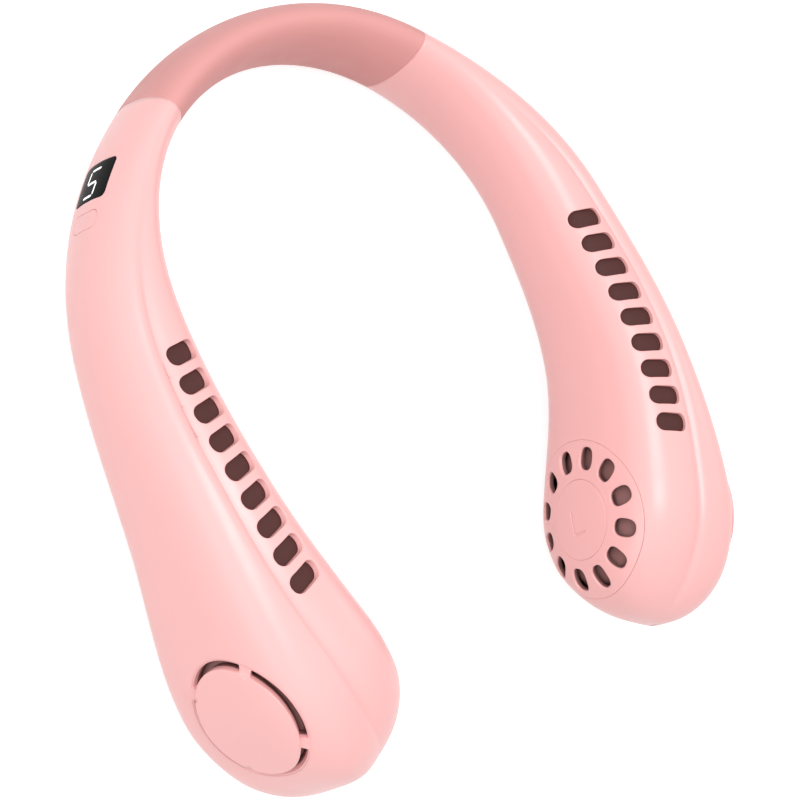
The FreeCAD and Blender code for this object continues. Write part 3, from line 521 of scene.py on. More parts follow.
for nodeName, cadObject in frame["nodes"].items():
    if nodeSlot[nodeName] in slotFinish:
        cadObject.data.materials.clear()
        cadObject.data.materials.append(slotFinish[nodeSlot[nodeName]])
print("finishes made")

# casing shells: rows run along the arm, columns round the section
shells = {
    "lip": 0.12, "seamLip": 0.012, "seamHold": 0.12, "slotCount": 9, "slotFirst": 123.6,
    "slotPitch": 8.45, "slotHalfWidth": 2.75, "slotHalfLength": 5.2, "slotCorner": 2.5, "slotLean": 11.0,
    "slotInset": [4.0, 5.1], "slotLip": 0.3, "pinkDepth": 1.7, "shadeSheetDepth": [1.85, 2.2],
    "grilleRadius": 24.2, "fanDrop": 0.8, "coverRadius": 19.6, "coverLift": 6.5, "gap": 0.05,
    "coverLip": 0.04, "coverGap": 0.01, "panelLift": 1.6, "windowAt": 72.6, "windowHalf": [6.3, 8.8, 1.6],
    "buttonAt": 84.0, "buttonHalf": [2.7, 6.7, 2.69], "buttonGap": 0.1, "portAt": 101.0, "portDrop": 15.2,
    "portHalf": [4.47, 1.63, 1.62], "portGap": 0.2, "skinPink": 1.4,
    # column edges: half width of the slots' strip and its limit, the grille's strip, then the cover's
    "slotStrip": [6.4, 0.72], "grilleFrom": [196, 12], "grilleStrip": [124, 236],
    "coverFoot": [-34, 0.62], "coverHead": [58, 0.75], "slantRun": [100, 215, 19],
    # rows between the stops, crowded towards the nose
    "noseAt": 240.0, "noseRows": 24, "tipRows": 8, "crowding": 1.9, "grilleEnd": 247.2,
}
fanPlane = planeAt(fanAt, -shells["fanDrop"])
coverPlane = planeAt(fanAt, shells["coverLift"], 1)
windowPlane = planeAt(shells["windowAt"], shells["panelLift"], 1)
buttonPlane = planeAt(shells["buttonAt"], shells["panelLift"], 1)
portPlane = planeAt(shells["portAt"], -shells["portDrop"], 1)


def skinHole(plane, block, halfA, halfB, corner, lip, steps, **more):
    def toFlat(a, b):
        spot = flat(plane, skin(a, b, 0))
        return spot[..., 0], spot[..., 1]

    def fromFlat(p, q, a, b):
        return onSkin(plane, p, q, a, b)

    return {
        "toFlat": toFlat, "fromFlat": fromFlat, "block": block, "halfA": halfA, "halfB": halfB,
        "corner": corner, "lip": lip, "steps": steps, "pinkDepth": shells["skinPink"], **more,
    }


def smooth(x):
    share = np.clip(x, 0, 1)
    return share * share * (3 - 2 * share)


def spread(stops, counts):
    # rows or columns: even steps between stops, each stop kept
    parts = [np.linspace(a, b, n, endpoint=False) for a, b, n in zip(stops[:-1], stops[1:], counts)]
    return np.concatenate(parts + [[stops[-1]]])


def columnsBetween(edges, counts):
    # edges is a list of arrays, one angle a row; columns go evenly from each to the next
    pairs = zip(edges[:-1], edges[1:], counts)
    parts = [a[:, None] + (b - a)[:, None] * np.arange(n) / n for a, b, n in pairs]
    return np.concatenate(parts + [edges[-1][:, None]], 1)


def slotInsetAt(s):
    run = shells["slotPitch"] * (shells["slotCount"] - 1)
    share = np.clip((s - shells["slotFirst"]) / run, 0, 1)
    return shells["slotInset"][0] + (shells["slotInset"][1] - shells["slotInset"][0]) * share


def innerEdges(s, lip):
    # column edges of the inner half: top seam, crease, far side of the slots, under the grille, bottom seam
    halfA = keyed("thickness", s) / 2
    strip, limit = shells["slotStrip"]
    begin, run = shells["grilleFrom"]
    over, under = np.radians(shells["grilleStrip"])
    side = psiOf(s, -np.minimum(slotInsetAt(s) + strip, limit * halfA), 1)
    side = side + (over - side) * smooth((s - begin) / run)
    edge = seamOffset(s) - lip
    held = edge - shells["seamHold"]
    return [
        psiOf(s, edge, 1), psiOf(s, held, 1), psiOf(s, creaseOffset(s), 1), side,
        np.full_like(s, under), 2 * np.pi + psiOf(s, held, -1), 2 * np.pi + psiOf(s, edge, -1),
    ]


def outerEdges(s, lip):
    # column edges of the outer half: bottom seam, under and over the cover and the panel, top seam
    edge = seamOffset(s) + lip
    held = edge + shells["seamHold"]
    low, high = psiOf(s, edge, -1), psiOf(s, edge, 1)
    (foot, footShare), (head, headShare) = shells["coverFoot"], shells["coverHead"]
    return [
        low, psiOf(s, held, -1), np.maximum(np.radians(foot), footShare * low),
        np.minimum(np.radians(head), headShare * high), psiOf(s, held, 1), high,
    ]


def slantOf(t, s, psi):
    # rows lean with the slots along the top and stand square elsewhere
    begin, stop, run = shells["slantRun"]
    strip = shells["slotStrip"][0]
    inside = smooth(np.clip((t - begin) / run, 0, 1) * np.clip((stop - t) / run, 0, 1))
    u = section(s, psi, 0)[0]
    return math.tan(math.radians(shells["slotLean"])) * np.clip(u + slotInsetAt(t), -strip, strip) * inside


def crowded(first, last, count):
    # rows that close in on the last one
    return first + (last - first) * (1 - (1 - np.arange(1, count + 1) / count) ** shells["crowding"])


def noseRows(lip):
    # rows that close in on the station where the outer half ends
    near = np.linspace(tipAt - 3, tipAt, 3001)
    lastAt = near[halves(near, 0)[0] > seamOffset(near) + lip][-1]
    return crowded(shells["noseAt"], lastAt, shells["noseRows"])


def innerShell():
    first = shells["slotFirst"] - shells["slotPitch"] / 2
    slotRows = [first + shells["slotPitch"] * k for k in range(shells["slotCount"] + 1)]
    stops = [jointAt, 60.0, *slotRows, shells["noseAt"]]
    counts = [12, 36] + [12] * shells["slotCount"] + [38]
    rowAt = np.cumsum([0] + counts).tolist()[2:]
    lip = shells["seamLip"]
    nose = noseRows(lip)
    t = np.concatenate([spread(stops, counts), nose, crowded(nose[-1], tipAt, shells["tipRows"])])
    columns = [1, 5, 14, 44, 16, 1]
    slotFrom, grilleFrom, grilleTo = np.cumsum(columns).tolist()[1:4]

    def gridFor(edge):
        psi = columnsBetween(innerEdges(t, edge), columns)
        s = np.repeat(t[:, None], psi.shape[1], 1)
        shifted = s + slantOf(s, s, psi)
        for j in range(psi.shape[1]):
            psi[:, j] = columnsBetween(innerEdges(shifted[:, j], edge), columns)[:, j]
        return shifted, psi

    gridA, gridB = gridFor(lip)
    holes = []
    for k in range(shells["slotCount"]):
        station = shells["slotFirst"] + shells["slotPitch"] * k
        plane = planeAt(station, 0.0)
        middle = plane["o"] - plane["n"] * slotInsetAt(np.array(station))
        plane = {"o": middle, "a": plane["a"], "b": plane["n"]}
        holes.append(skinHole(
            plane, (rowAt[k], rowAt[k + 1], slotFrom, grilleFrom), shells["slotHalfWidth"],
            shells["slotHalfLength"], shells["slotCorner"], shells["slotLip"], steps=3,
            turn=math.radians(shells["slotLean"]), pinkDepth=shells["pinkDepth"],
        ))
    endRow = int(np.argmin(np.abs(t - shells["grilleEnd"])))
    reach = shells["grilleRadius"] + shells["gap"]
    block = (rowAt[shells["slotCount"] - 1], endRow, grilleFrom, grilleTo)
    holes.append(skinHole(fanPlane, block, reach, reach, reach, shells["lip"], steps=9))
    blocks = sheetBlocks(gridA, gridB, casing, wall, holes, innerShadeFinish=1)
    blocks += seamRim(gridFor, gridA, gridB, lip)
    # painted shade: a dark brown sheet under the row of slots, standing for the shade inside the arm
    along = np.linspace(slotRows[0] - 2, slotRows[-1] + 3, 60)
    s, u = np.meshgrid(along, np.linspace(3.0, -11.5, 14), indexing="ij")
    blocks += shadeSlab(s, psiOf(s, u, 1), skin, *shells["shadeSheetDepth"])
    return blocks


def outerShell(withPanel):
    lip = shells["seamLip"]
    stops = [jointAt, 64.0, 80.0, 89.0, 95.0, 107.0, 192.0, shells["noseAt"]]
    counts = [11, 20, 12, 5, 14, 62, 46]
    rowAt = np.cumsum([0] + counts).tolist()
    t = np.concatenate([spread(stops, counts), noseRows(lip)])
    columns = [1, 16, 40, 9, 1]
    across = tuple(np.cumsum(columns).tolist()[1:3])

    def gridFor(edge):
        psi = columnsBetween(outerEdges(t, edge), columns)
        return np.repeat(t[:, None], psi.shape[1], 1), psi

    gridA, gridB = gridFor(lip)
    reach = shells["coverRadius"] + shells["coverGap"]
    block = (*rowAt[6:8], *across)
    holes = [skinHole(coverPlane, block, reach, reach, reach, shells["coverLip"], steps=7)]
    if withPanel:
        for plane, block, size, gap in (
            (windowPlane, (*rowAt[1:3], *across), shells["windowHalf"], shells["gap"]),
            (buttonPlane, (*rowAt[2:4], *across), shells["buttonHalf"], shells["buttonGap"]),
            (portPlane, (*rowAt[4:6], 3, 16), shells["portHalf"], shells["portGap"]),
        ):
            grown = [length + gap for length in size]
            holes.append(skinHole(plane, block, *grown, lip=0.15, steps=6))
    blocks = sheetBlocks(gridA, gridB, casing, wall, holes, innerShadeFinish=1)
    blocks += seamRim(gridFor, gridA, gridB, lip)
    return blocks


def seamRim(gridFor, gridA, gridB, lip):
    # rounded edge and wall along both seams, and the flat end at the band joint
    blocks = []
    profile = [(lip * (1 - math.sin(turn)), lip * (1 - math.cos(turn))) for turn in rim["turns"][1:]]
    profile += [(0.0, lip + rim["run"]), (0.0, wall * rim["share"])]
    grids = [gridFor(edge) for edge, inset in profile]
    for column, flip in ((0, True), (-1, False)):
        rings = [casing(gridA[:, column], gridB[:, column], 0.0)]
        rings += [casing(a[:, column], b[:, column], inset) for (a, b), (edge, inset) in zip(grids, profile)]
        rings.append(casing(gridA[:, column], gridB[:, column], wall))
        blocks.append(gridBlock(np.stack(rings), flip=not flip))
    ends = [(gridA, gridB)] + grids + [(gridA, gridB)]
    insets = [0.0] + [inset for edge, inset in profile] + [wall]
    outer = np.stack([casing(gridA[0], gridB[0], 0.0), casing(gridA[0], gridB[0], wall)])
    blocks.append(gridBlock(outer, flip=True))
    for column, flip in ((0, True), (-1, False)):
        corner = np.stack([casing(a[0, column], b[0, column], i) for (a, b), i in zip(ends, insets)])
        blocks.append(capBlock(np.concatenate([corner, corner[:1]]), flip))
    return blocks


inner = innerShell()
outerPlain = outerShell(False)
outerPanel = outerShell(True)
for label, side, outer in (("left", 1, outerPlain), ("right", -1, outerPanel)):
    for half, blocks in (("inner", inner), ("outer", outer)):
        piece = makePiece(label + "Casing" + half.title(), blocks, [pinkCasing, casingPaintedShade], side)
        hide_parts(label + "_" + half + "_shell")
        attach(piece, label + "_arm")
print("casing done")

# silicone band: two halves that meet at the middle of the nape
band = {"rows": 60, "columns": 96, "lip": 0.25}


def bandHalf():
    lip = band["lip"]
    rows = np.concatenate([[0.0, 0.1], np.linspace(0.4, jointAt - lip - 0.3, band["rows"])])
    s, psi = np.meshgrid(rows, np.linspace(0, 2 * np.pi, band["columns"] + 1), indexing="ij")
    rings = list(skin(s, psi, 0.0))
    around = psi[0]
    for turn in rim["turns"]:
        at = np.full_like(around, jointAt - lip * (1 - math.sin(turn)))
        rings.append(skin(at, around, lip * (1 - math.cos(turn))))
    blocks = [gridBlock(np.stack(rings))]
    for ring, flip in ((rings[0], True), (rings[-1], False)):
        middle = ring[:-1].mean(0)
        cap = np.stack([ring, (ring + middle) / 2, np.repeat(middle[None], len(ring), 0)])
        blocks.append(gridBlock(cap, flip=flip))
    return blocks


# spring wire and cable: tubes along the band that end inside the arms
cores = {
    "rows": 90,
    "columns": 20,
    "band_spring": {"name": "BandSpring", "lift": 6.0, "radius": 1.0, "left": 6.0, "right": 6.0},
    "band_cable": {
        "name": "BandCable", "lift": -6.0, "radius": 1.3, "left": shoulderAt - jointAt, "right": 16.0,
    },
}


def coreHalf(core, reach):
    # spine point at one level, plus a ring of radius r: r cos t outward and r sin t upward
    s = np.linspace(0, jointAt + reach, cores["rows"])[:, None]
    t = np.linspace(0, 2 * np.pi, cores["columns"] + 1)[None, :]
    x, y, h = spineAt(s)
    u = core["radius"] * np.cos(t)
    z = core["lift"] + core["radius"] * np.sin(t) + 0 * s
    rings = np.stack([x + np.sin(h) * u, y + np.cos(h) * u, z], -1) + collar["shift"]
    return [gridBlock(rings), capBlock(rings[0], True), capBlock(rings[-1], False)]


halfBand = bandHalf()
for label, side in (("left", 1), ("right", -1)):
    ends = []
    for station in (2.0, jointAt - 3.0):
        x, y, h = spineAt(np.array(station))
        spot = (side * x, y + collar["shift"][1], collar["shift"][2])
        ends.append(tuple(float(length / 1000) for length in spot))
    start, end = ends
    sleeve = makePiece(label + "Band", halfBand, [bandSilicone], side, sharpCaps=True)
    bending = [(sleeve, "neck_band_sleeve")]
    for node in ("band_spring", "band_cable"):
        tube = coreHalf(cores[node], cores[node][label])
        finish = slotFinish[nodeSlot[node]]
        tubePiece = makePiece(label + cores[node]["name"], tube, [finish], side, sharpCaps=True)
        bending.append((tubePiece, node))
    for piece, node in bending:
        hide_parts(node)
        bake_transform(piece)
        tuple(start)
        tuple(end)
        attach(piece, "neck_band")
print("band done")


def fanGuess(p, q, face):
    # first guess of station and angle for a spot of the fan's or the cover's plane
    s = np.minimum(fanAt + p / (1.085 if face > 0 else 0.915), tipAt - 3)
    y = np.clip(q / 29.0, -0.8, 0.8)
    return s, (np.arcsin(y) if face > 0 else np.pi - np.arcsin(y))


def overPlane(plane, face, lift):
    def place(p, q, inset):
        p, q = np.asarray(p, float), np.asarray(q, float)
        return skin(*onSkin(plane, p, q, *fanGuess(p, q + lift, face)), inset)
    return place


def discRim(place, radius, theta, lip, depth, outward):
    # rounded edge and wall of a disc or of the hole in a ring
    rings = []
    for turn in rim["turns"]:
        r = radius - outward * lip * (1 - math.sin(turn))
        rings.append(place(r * np.cos(theta), r * np.sin(theta), lip * (1 - math.cos(turn))))
    back = (radius - outward * lip, depth)
    for r, inset in ((radius, lip + rim["run"]), (radius, depth * rim["share"]), back):
        rings.append(place(r * np.cos(theta), r * np.sin(theta), inset))
    return gridBlock(np.stack(rings), flip=outward < 0)


def turned(plane, columns, profile):
    # turned solid about a plane's axis, from pairs of radius and level
    turn = np.linspace(0, 2 * np.pi, columns + 1)
    spot = np.outer(np.cos(turn), plane["a"]) + np.outer(np.sin(turn), plane["b"])
    rings = [plane["o"] + radius * spot + plane["n"] * level for radius, level in profile]
    return gridBlock(np.stack(rings), flip=True)


def shadeRing(place, radii, theta, top, bottom):
    # closed thin ring behind the holes, in the painted-shade finish: out along its face, back along its rear
    profile = [(r, top) for r in radii] + [(r, bottom) for r in radii[::-1]] + [(radii[0], top)]
    rings = [place(r * np.cos(theta), r * np.sin(theta), inset) for r, inset in profile]
    return gridBlock(np.stack(rings), finish=1)


# grille: a ring of skin round the fan axis with radial ovals, and the boss behind it
grille = {
    "radius": shells["grilleRadius"], "hole": 12.26, "lip": 0.12, "strip": [13.3, 23.3], "rows": [3, 14, 3],
    "ovals": 12, "ring": 18.6, "halfLength": 3.5, "halfWidth": 2.8, "ovalPower": 2.6, "ovalLip": 0.4,
    "ovalColumns": 16, "shadeSheetDepth": [3.1, 3.5], "bossRadius": 10.5,
    "bossHeight": 4.0, "bossSunk": 1.0, "bossFlange": [12.1, 0.6], "bossEdge": 0.3, "bossColumns": 64,
}
onGrille = overPlane(fanPlane, -1, -shells["fanDrop"])


def turnedHole(angle, ring, block, **facts):
    c, s = math.cos(angle), math.sin(angle)

    def toFlat(p, q):
        return p * c + q * s - ring, q * c - p * s

    def fromFlat(x, y, a, b):
        return (x + ring) * c - y * s, (x + ring) * s + y * c

    return {"toFlat": toFlat, "fromFlat": fromFlat, "block": block, **facts}


def grilleBlocks():
    lip = grille["lip"]
    r = spread([grille["hole"] + lip, *grille["strip"], grille["radius"] - lip], grille["rows"])
    first, last = np.cumsum(grille["rows"]).tolist()[:2]
    each = grille["ovalColumns"]
    theta = np.linspace(0, 2 * np.pi, grille["ovals"] * each + 1)
    gridR, gridT = np.meshgrid(r, theta, indexing="ij")
    holes = []
    for k in range(grille["ovals"]):
        angle = 2 * np.pi * (k + 0.5) / grille["ovals"]
        holes.append(turnedHole(
            angle, grille["ring"], (first, last, k * each, (k + 1) * each), halfA=grille["halfLength"],
            halfB=grille["halfWidth"], oval=grille["ovalPower"], lip=grille["ovalLip"],
            steps=4, pinkDepth=0.7,
        ))
    gridP, gridQ = gridR * np.cos(gridT), gridR * np.sin(gridT)
    blocks = sheetBlocks(gridP, gridQ, onGrille, wall, holes, innerShadeFinish=1)
    blocks.append(discRim(onGrille, grille["radius"], theta, lip, wall, 1))
    blocks.append(discRim(onGrille, grille["hole"], theta, lip, wall, -1))
    # painted shade: a dark brown ring behind the ovals, standing for the shade inside the arm
    blocks.append(shadeRing(onGrille, [13.0, 16.0, 20.0, 23.4], theta, *grille["shadeSheetDepth"]))
    # boss: a turned plug from behind the badge to the motor's seat
    zero = np.zeros(1)
    onAxis = skin(*onSkin(fanPlane, zero, zero, *fanGuess(zero, zero, -1)), 0)[0]
    floor = float((onAxis - fanPlane["o"]) @ fanPlane["n"])
    top = floor + wall + grille["bossHeight"]
    bottom = floor + grille["bossSunk"]
    flange, thick = grille["bossFlange"]
    boss, edge = grille["bossRadius"], grille["bossEdge"]
    blocks.append(turned(fanPlane, grille["bossColumns"], (
        (0, bottom), (flange, bottom), (flange, bottom + thick), (boss, bottom + thick),
        (boss, top - edge), (boss - edge, top), (0, top),
    )))
    return blocks


# badge: a disc with the side letter pressed in
badge = {
    "radius": 12.2, "lip": 0.12, "depth": 0.9, "letterDepth": 0.3, "stroke": 0.2, "soft": 0.16,
    "letterTurn": 8.6,
}


def barDistance(x, y, ax, ay, bx, by):
    # distance to a straight stroke
    dx, dy = bx - ax, by - ay
    share = np.clip(((x - ax) * dx + (y - ay) * dy) / (dx * dx + dy * dy), 0, 1)
    return np.hypot(x - ax - share * dx, y - ay - share * dy)


def letterDistance(letter, x, y):
    # distance to the strokes of the side letter, upright on its own axes
    near = barDistance(x, y, -2.2, -3.6, -2.2, 3.6)
    if letter == "L":
        return np.minimum(near, barDistance(x, y, -2.2, -3.6, 2.4, -3.6))
    for stroke in ((-2.2, 3.6, 0.6, 3.6), (-2.2, 0.2, 0.6, 0.2), (0.0, 0.2, 2.4, -3.6)):
        near = np.minimum(near, barDistance(x, y, *stroke))
    bowl = np.where(x > 0.6, np.abs(np.hypot(x - 0.6, y - 1.9) - 1.7), 9.0)
    return np.minimum(near, bowl)


def badgeBlocks(letter, side):
    def place(p, q, inset):
        # letter's up points to the band, and its foot upward on the left badge
        c, s = math.cos(math.radians(badge["letterTurn"])), math.sin(math.radians(badge["letterTurn"]))
        p, q = np.asarray(p, float), np.asarray(q, float)
        near = letterDistance(letter, side * (q * c - p * s + 1.0), -p * c - q * s + 0.4)
        dip = badge["letterDepth"] * np.clip((badge["stroke"] + badge["soft"] - near) / badge["soft"], 0, 1)
        return onGrille(p, q, inset + np.where(np.asarray(inset) > 0.5, 0, dip))

    lip = badge["lip"]
    r = np.concatenate([[0.0], np.linspace(0.15, 8.0, 76), np.linspace(8.3, badge["radius"] - lip, 10)])
    theta = np.linspace(0, 2 * np.pi, 241)
    gridR, gridT = np.meshgrid(r, theta, indexing="ij")
    blocks = sheetBlocks(gridR * np.cos(gridT), gridR * np.sin(gridT), place, badge["depth"])
    blocks.append(discRim(place, badge["radius"], theta, lip, badge["depth"], 1))
    return blocks


# intake cover: a disc of the outer skin with four arc slots
cover = {
    "radius": shells["coverRadius"], "depth": 3.0, "lip": shells["coverLip"], "slots": 4, "slotRing": 17.8,
    "slotHalfWidth": 1.0, "slotTurn": 78.0, "slotLip": 0.15, "corner": 0.35, "bridgeAt": 51.0,
    "bridgeHalf": 2.5, "bridgeColumns": 5, "slotColumns": 70, "recess": 0.25, "recessEdge": [19.5, 18.85],
    "discEdge": [16.95, 16.6], "proud": 0.85, "strip": [16.4, 19.1], "rows": [14, 6, 4],
    "shadeSheetDepth": [3.1, 3.4],
}
coverSkin = overPlane(coverPlane, 1, shells["coverLift"])


def ramp(x, start, end):
    return smooth((x - start) / (end - start))


def onCover(p, q, inset):
    # the skin, with the ring of slots sunk a little below it and the disc inside a little proud
    r = np.hypot(p, q)
    disc = ramp(r, *cover["discEdge"])
    dip = cover["recess"] * ramp(r, *cover["recessEdge"]) * (1 - disc) - cover["proud"] * disc
    return coverSkin(p, q, inset + dip * np.clip(1.2 - inset / cover["depth"], 0, 1))


def arcHole(middle, ring, block, **facts):
    def toFlat(p, q):
        turn = np.arctan2(q, p) - middle
        turn = (turn + np.pi) % (2 * np.pi) - np.pi
        return turn * ring, np.hypot(p, q) - ring

    def fromFlat(x, y, a, b):
        return (ring + y) * np.cos(middle + x / ring), (ring + y) * np.sin(middle + x / ring)

    return {"toFlat": toFlat, "fromFlat": fromFlat, "block": block, **facts}


def coverBlocks():
    lip = cover["lip"]
    stops = [0.6, *cover["strip"], cover["radius"] - lip]
    r = np.concatenate([[0.0], spread(stops, cover["rows"])])
    first, last = (1 + np.cumsum(cover["rows"])).tolist()[:2]
    slots = cover["slots"]
    starts = np.radians(cover["bridgeAt"] + 360 // slots * np.arange(slots + 1))
    edge = math.radians(cover["bridgeHalf"])
    stops, counts = [], []
    for k in range(slots):
        stops += [starts[k] - edge, starts[k] + edge]
        counts += [cover["bridgeColumns"], cover["slotColumns"]]
    theta = spread(stops + [starts[slots] - edge], counts)
    columnAt = np.cumsum([0] + counts).tolist()
    gridR, gridT = np.meshgrid(r, theta, indexing="ij")
    holes = []
    for k in range(slots):
        half = math.radians(cover["slotTurn"] / 2) * cover["slotRing"]
        holes.append(arcHole(
            starts[k] + math.pi / slots, cover["slotRing"],
            (first, last, columnAt[2 * k + 1], columnAt[2 * k + 2]), halfA=half,
            halfB=cover["slotHalfWidth"], corner=cover["corner"], lip=cover["slotLip"], steps=1,
            pinkDepth=shells["skinPink"],
        ))
    gridP, gridQ = gridR * np.cos(gridT), gridR * np.sin(gridT)
    blocks = sheetBlocks(gridP, gridQ, onCover, cover["depth"], holes, innerShadeFinish=1)
    blocks.append(discRim(onCover, cover["radius"], theta, lip, cover["depth"], 1))
    # painted shade: a dark ring behind the arc slots, standing for the shade inside the cover
    blocks.append(shadeRing(onCover, [15.8, 17.4, 19.2], theta, *cover["shadeSheetDepth"]))
    return blocks


grilleRing = grilleBlocks()
intake = coverBlocks()
for label, side, letter in (("left", 1, "L"), ("right", -1, "R")):
    for name, blocks, finishes, node in (
        (label + "Grille", grilleRing, [pinkCasing, openingPaintedShade], label + "_inner_grille"),
        (label + "Badge", badgeBlocks(letter, side), [pinkCasing], label + "_side_badge"),
        (label + "Intake", intake, [pinkCasing, openingPaintedShade], label + "_intake_cover"),
    ):
        piece = makePiece(name, blocks, finishes, side)
        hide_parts(node)
        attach(piece, label + "_arm")
print("grilles and intakes done")

# control panel: smoked lens, lit digit and pill button
panel = {
    "lip": 0.2, "lensGrid": [20, 28], "buttonGrid": [14, 24], "digitAt": [0.4, -0.3], "digitHigh": 8.6,
    "digitWide": 5.6, "digitSlant": 0.08, "bar": 0.7, "barShape": [0.3, 0.01, 0.1, 10, 10], "proud": 0.02,
    "stemRadius": 1.2, "stemEnds": [-4.0, -1.0], "stemEdge": 0.2, "stemColumns": 32,
}


def roundedGrid(halfA, halfB, corner, n, m):
    # nested rounded boxes from the middle out to the edge
    x, y = np.meshgrid(np.linspace(-1, 1, n + 1), np.linspace(-1, 1, m + 1), indexing="ij")
    level = np.maximum(np.maximum(np.abs(x), np.abs(y)), 1e-9)
    shape = {"halfA": halfA, "halfB": halfB, "corner": corner}
    p, q = outlinePoints(x / level * (halfA + 0.01), y / level * (halfB + 0.01), shape, 0.0)
    return p * level, q * level


def platePlace(plane, station):
    def place(p, q, inset):
        p, q = np.asarray(p, float), np.asarray(q, float)
        s = station + p / 1.11
        return skin(*onSkin(plane, p, q, s, np.arctan2(q / 18.5, 0.95)), inset)
    return place


def plateBlocks(place, halfA, halfB, corner, lip, depth, n, m, top=0.0):
    # plate set in the skin: rounded outline, rounded edge, flat back
    gridP, gridQ = roundedGrid(halfA - lip, halfB - lip, corner - lip, n, m)
    blocks = [gridBlock(place(gridP, gridQ, top)), gridBlock(place(gridP, gridQ, depth), flip=True)]
    p, q = loopOf(gridP, 0, n, 0, m), loopOf(gridQ, 0, n, 0, m)
    shape = {"halfA": halfA, "halfB": halfB, "corner": corner}
    rings = [place(p, q, top)]
    for turn in rim["turns"][1:]:
        spot = outlinePoints(p, q, shape, -lip * (1 - math.sin(turn)))
        rings.append(place(*spot, top + lip * (1 - math.cos(turn))))
    spot = outlinePoints(p, q, shape, 0.0)
    rings += [place(*spot, depth * rim["share"]), place(p, q, depth)]
    blocks.append(ringBlock(rings[::-1]))
    return blocks


onWindow = platePlace(windowPlane, shells["windowAt"])
onButton = platePlace(buttonPlane, shells["buttonAt"])
lensPlate = plateBlocks(onWindow, *shells["windowHalf"], panel["lip"], wall, *panel["lensGrid"])
lens = makePiece("displayLens", lensPlate, [smokedLens], -1)
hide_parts("display_window")
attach(lens, "right_arm")

litWhite = moulded("litWhite", (240, 240, 240), 0.05, 400.0, (0.3, 0.4), 0.02,
                   Emission_Color=(1.0, 1.0, 1.0, 1.0), Emission_Strength=0.7)


def digitBlocks():
    # seven-segment figure five; its top points to the band and its right side upward
    wide, high, bar = panel["digitWide"] / 2, panel["digitHigh"] / 2, panel["bar"] / 2
    half = high / 2
    bars = [
        (0, high, wide, 1), (-wide, half, half, 0), (0, 0, wide, 1), (wide, -half, half, 0),
        (0, -high, wide, 1),
    ]
    atP, atQ = panel["digitAt"]
    blocks = []
    for x, y, length, level in bars:
        length = length - bar * 0.9
        sizeX, sizeY = (length, bar) if level else (bar, length)

        def place(p, q, inset):
            right = x + np.asarray(q, float)
            above = y - np.asarray(p, float)
            return onWindow(atP - above, atQ + right + above * panel["digitSlant"], inset)

        blocks += plateBlocks(place, sizeY, sizeX, *panel["barShape"], -panel["proud"])
    return blocks


digit = makePiece("litDigit", digitBlocks(), [litWhite], -1)
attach(digit, "right_arm")


def buttonBlocks():
    blocks = plateBlocks(onButton, *shells["buttonHalf"], panel["lip"], wall, *panel["buttonGrid"])
    low, high = panel["stemEnds"]
    stem, edge = panel["stemRadius"], panel["stemEdge"]
    profile = ((0, low), (stem - edge, low), (stem, low + edge), (stem, high), (0, high))
    return blocks + [turned(buttonPlane, panel["stemColumns"], profile)]


button = makePiece("pillButton", buttonBlocks(), [pinkCasing], -1)
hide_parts("power_button")
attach(button, "power_button")
print("panel done")

# floor, light and camera
studio = {
    "floor": 4.0,
    "floorLevel": -0.0002,
    "floorTone": (0.58, 0.58, 0.58, 1),
    "floorLift": 0.75,
    "worldLight": 0.66,
    "aim": (0.0, 0.0, 0.03),
    # power, size and place of each lamp
    "lamps": {
        "topLight": (4.2, 0.5, (-0.22, 0.12, 0.86)),
        "sideLight": (1.3, 0.7, (-0.8, -0.05, 0.42)),
        "rimLight": (0.35, 0.3, (0.75, 0.0, 0.42)),
    },
}
white = (1.0, 1.0, 1.0, 1.0)


def whiteForCamera(tree):
    # 1 where the camera, a reflection or glass looks straight at it
    path = addNode(tree, "ShaderNodeLightPath")
    both = addNode(tree, "ShaderNodeMath", {
        0: path.outputs["Is Camera Ray"], 1: path.outputs["Is Glossy Ray"],
    }, operation="MAXIMUM")
    return addNode(tree, "ShaderNodeMath", {
        0: both.outputs[0], 1: path.outputs["Is Transmission Ray"],
    }, operation="MAXIMUM")


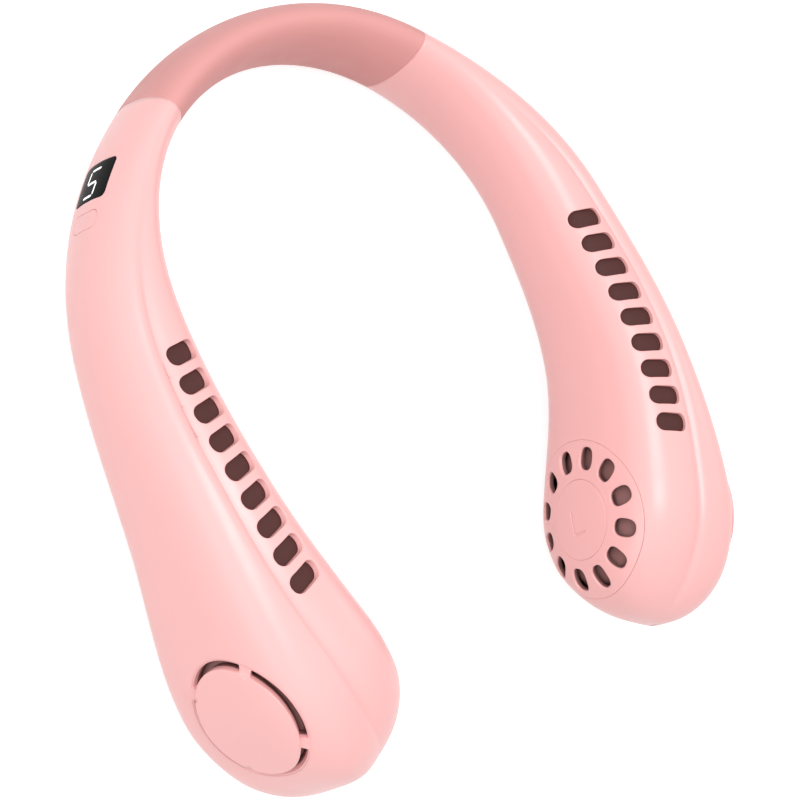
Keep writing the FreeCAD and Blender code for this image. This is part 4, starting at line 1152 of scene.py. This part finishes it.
floorMesh = bpy.data.meshes.new("paleFloor")
span = studio["floor"]
corners = ((-span, -span), (span, -span), (span, span), (-span, span))
floorMesh.from_pydata([(*corner, studio["floorLevel"]) for corner in corners], [], [(0, 1, 2, 3)])
floor = linked("paleFloor", floorMesh)
floorFinish = bpy.data.materials.new("paleFloor")
floorFinish.use_nodes = True
tree = floorFinish.node_tree
plain = tree.nodes["Principled BSDF"]
plain.inputs["Base Color"].default_value = studio["floorTone"]
plain.inputs["Roughness"].default_value = 0.9
plain.inputs["Specular IOR Level"].default_value = 0.0
plain.inputs["Emission Color"].default_value = white
seen = whiteForCamera(tree)
glow = addNode(tree, "ShaderNodeMath", {0: seen.outputs[0], 1: studio["floorLift"]}, operation="MULTIPLY")
tree.links.new(glow.outputs[0], plain.inputs["Emission Strength"])
floorMesh.materials.append(floorFinish)

world = bpy.data.worlds.new("softStudio")
bpy.context.scene.world = world
world.use_nodes = True
tree = world.node_tree
sky = tree.nodes["Background"]
sky.inputs["Color"].default_value = white
seen = whiteForCamera(tree)
level = addNode(tree, "ShaderNodeMapRange", {
    "Value": seen.outputs[0], "To Min": studio["worldLight"], "To Max": 1.0,
})
tree.links.new(level.outputs[0], sky.inputs["Strength"])

for name, (power, size, place) in studio["lamps"].items():
    lamp = bpy.data.lights.new(name, "AREA")
    lamp.energy = power
    lamp.shape = "DISK"
    lamp.size = size
    holder = linked(name, lamp)
    holder.location = place
    holder.rotation_mode = "QUATERNION"
    direction = np.array(studio["aim"]) - np.array(place)
    holder.rotation_quaternion = Vector(direction).to_track_quat("-Z", "Y")

view = {
    "place": (-0.337314, -0.003165, 0.526938),
    "right": (0.776846, -0.34001, 0.530003),
    "up": (0.291278, 0.94026, 0.176262),
    "back": (-0.558271, 0.01745, 0.829475),
    "lens": 93.383,
}
lensData = bpy.data.cameras.new("photoView")
lensData.lens = view["lens"]
lensData.sensor_width = 36.0
lensData.clip_start = 0.01
cameraObject = linked("photoView", lensData)
turn = np.eye(4)
for column, axis in enumerate(("right", "up", "back", "place")):
    turn[:3, column] = view[axis]
cameraObject.matrix_world = Matrix(turn.tolist())
bpy.context.scene.camera = cameraObject
bpy.context.scene.view_settings.view_transform = "Standard"
print("studio done")
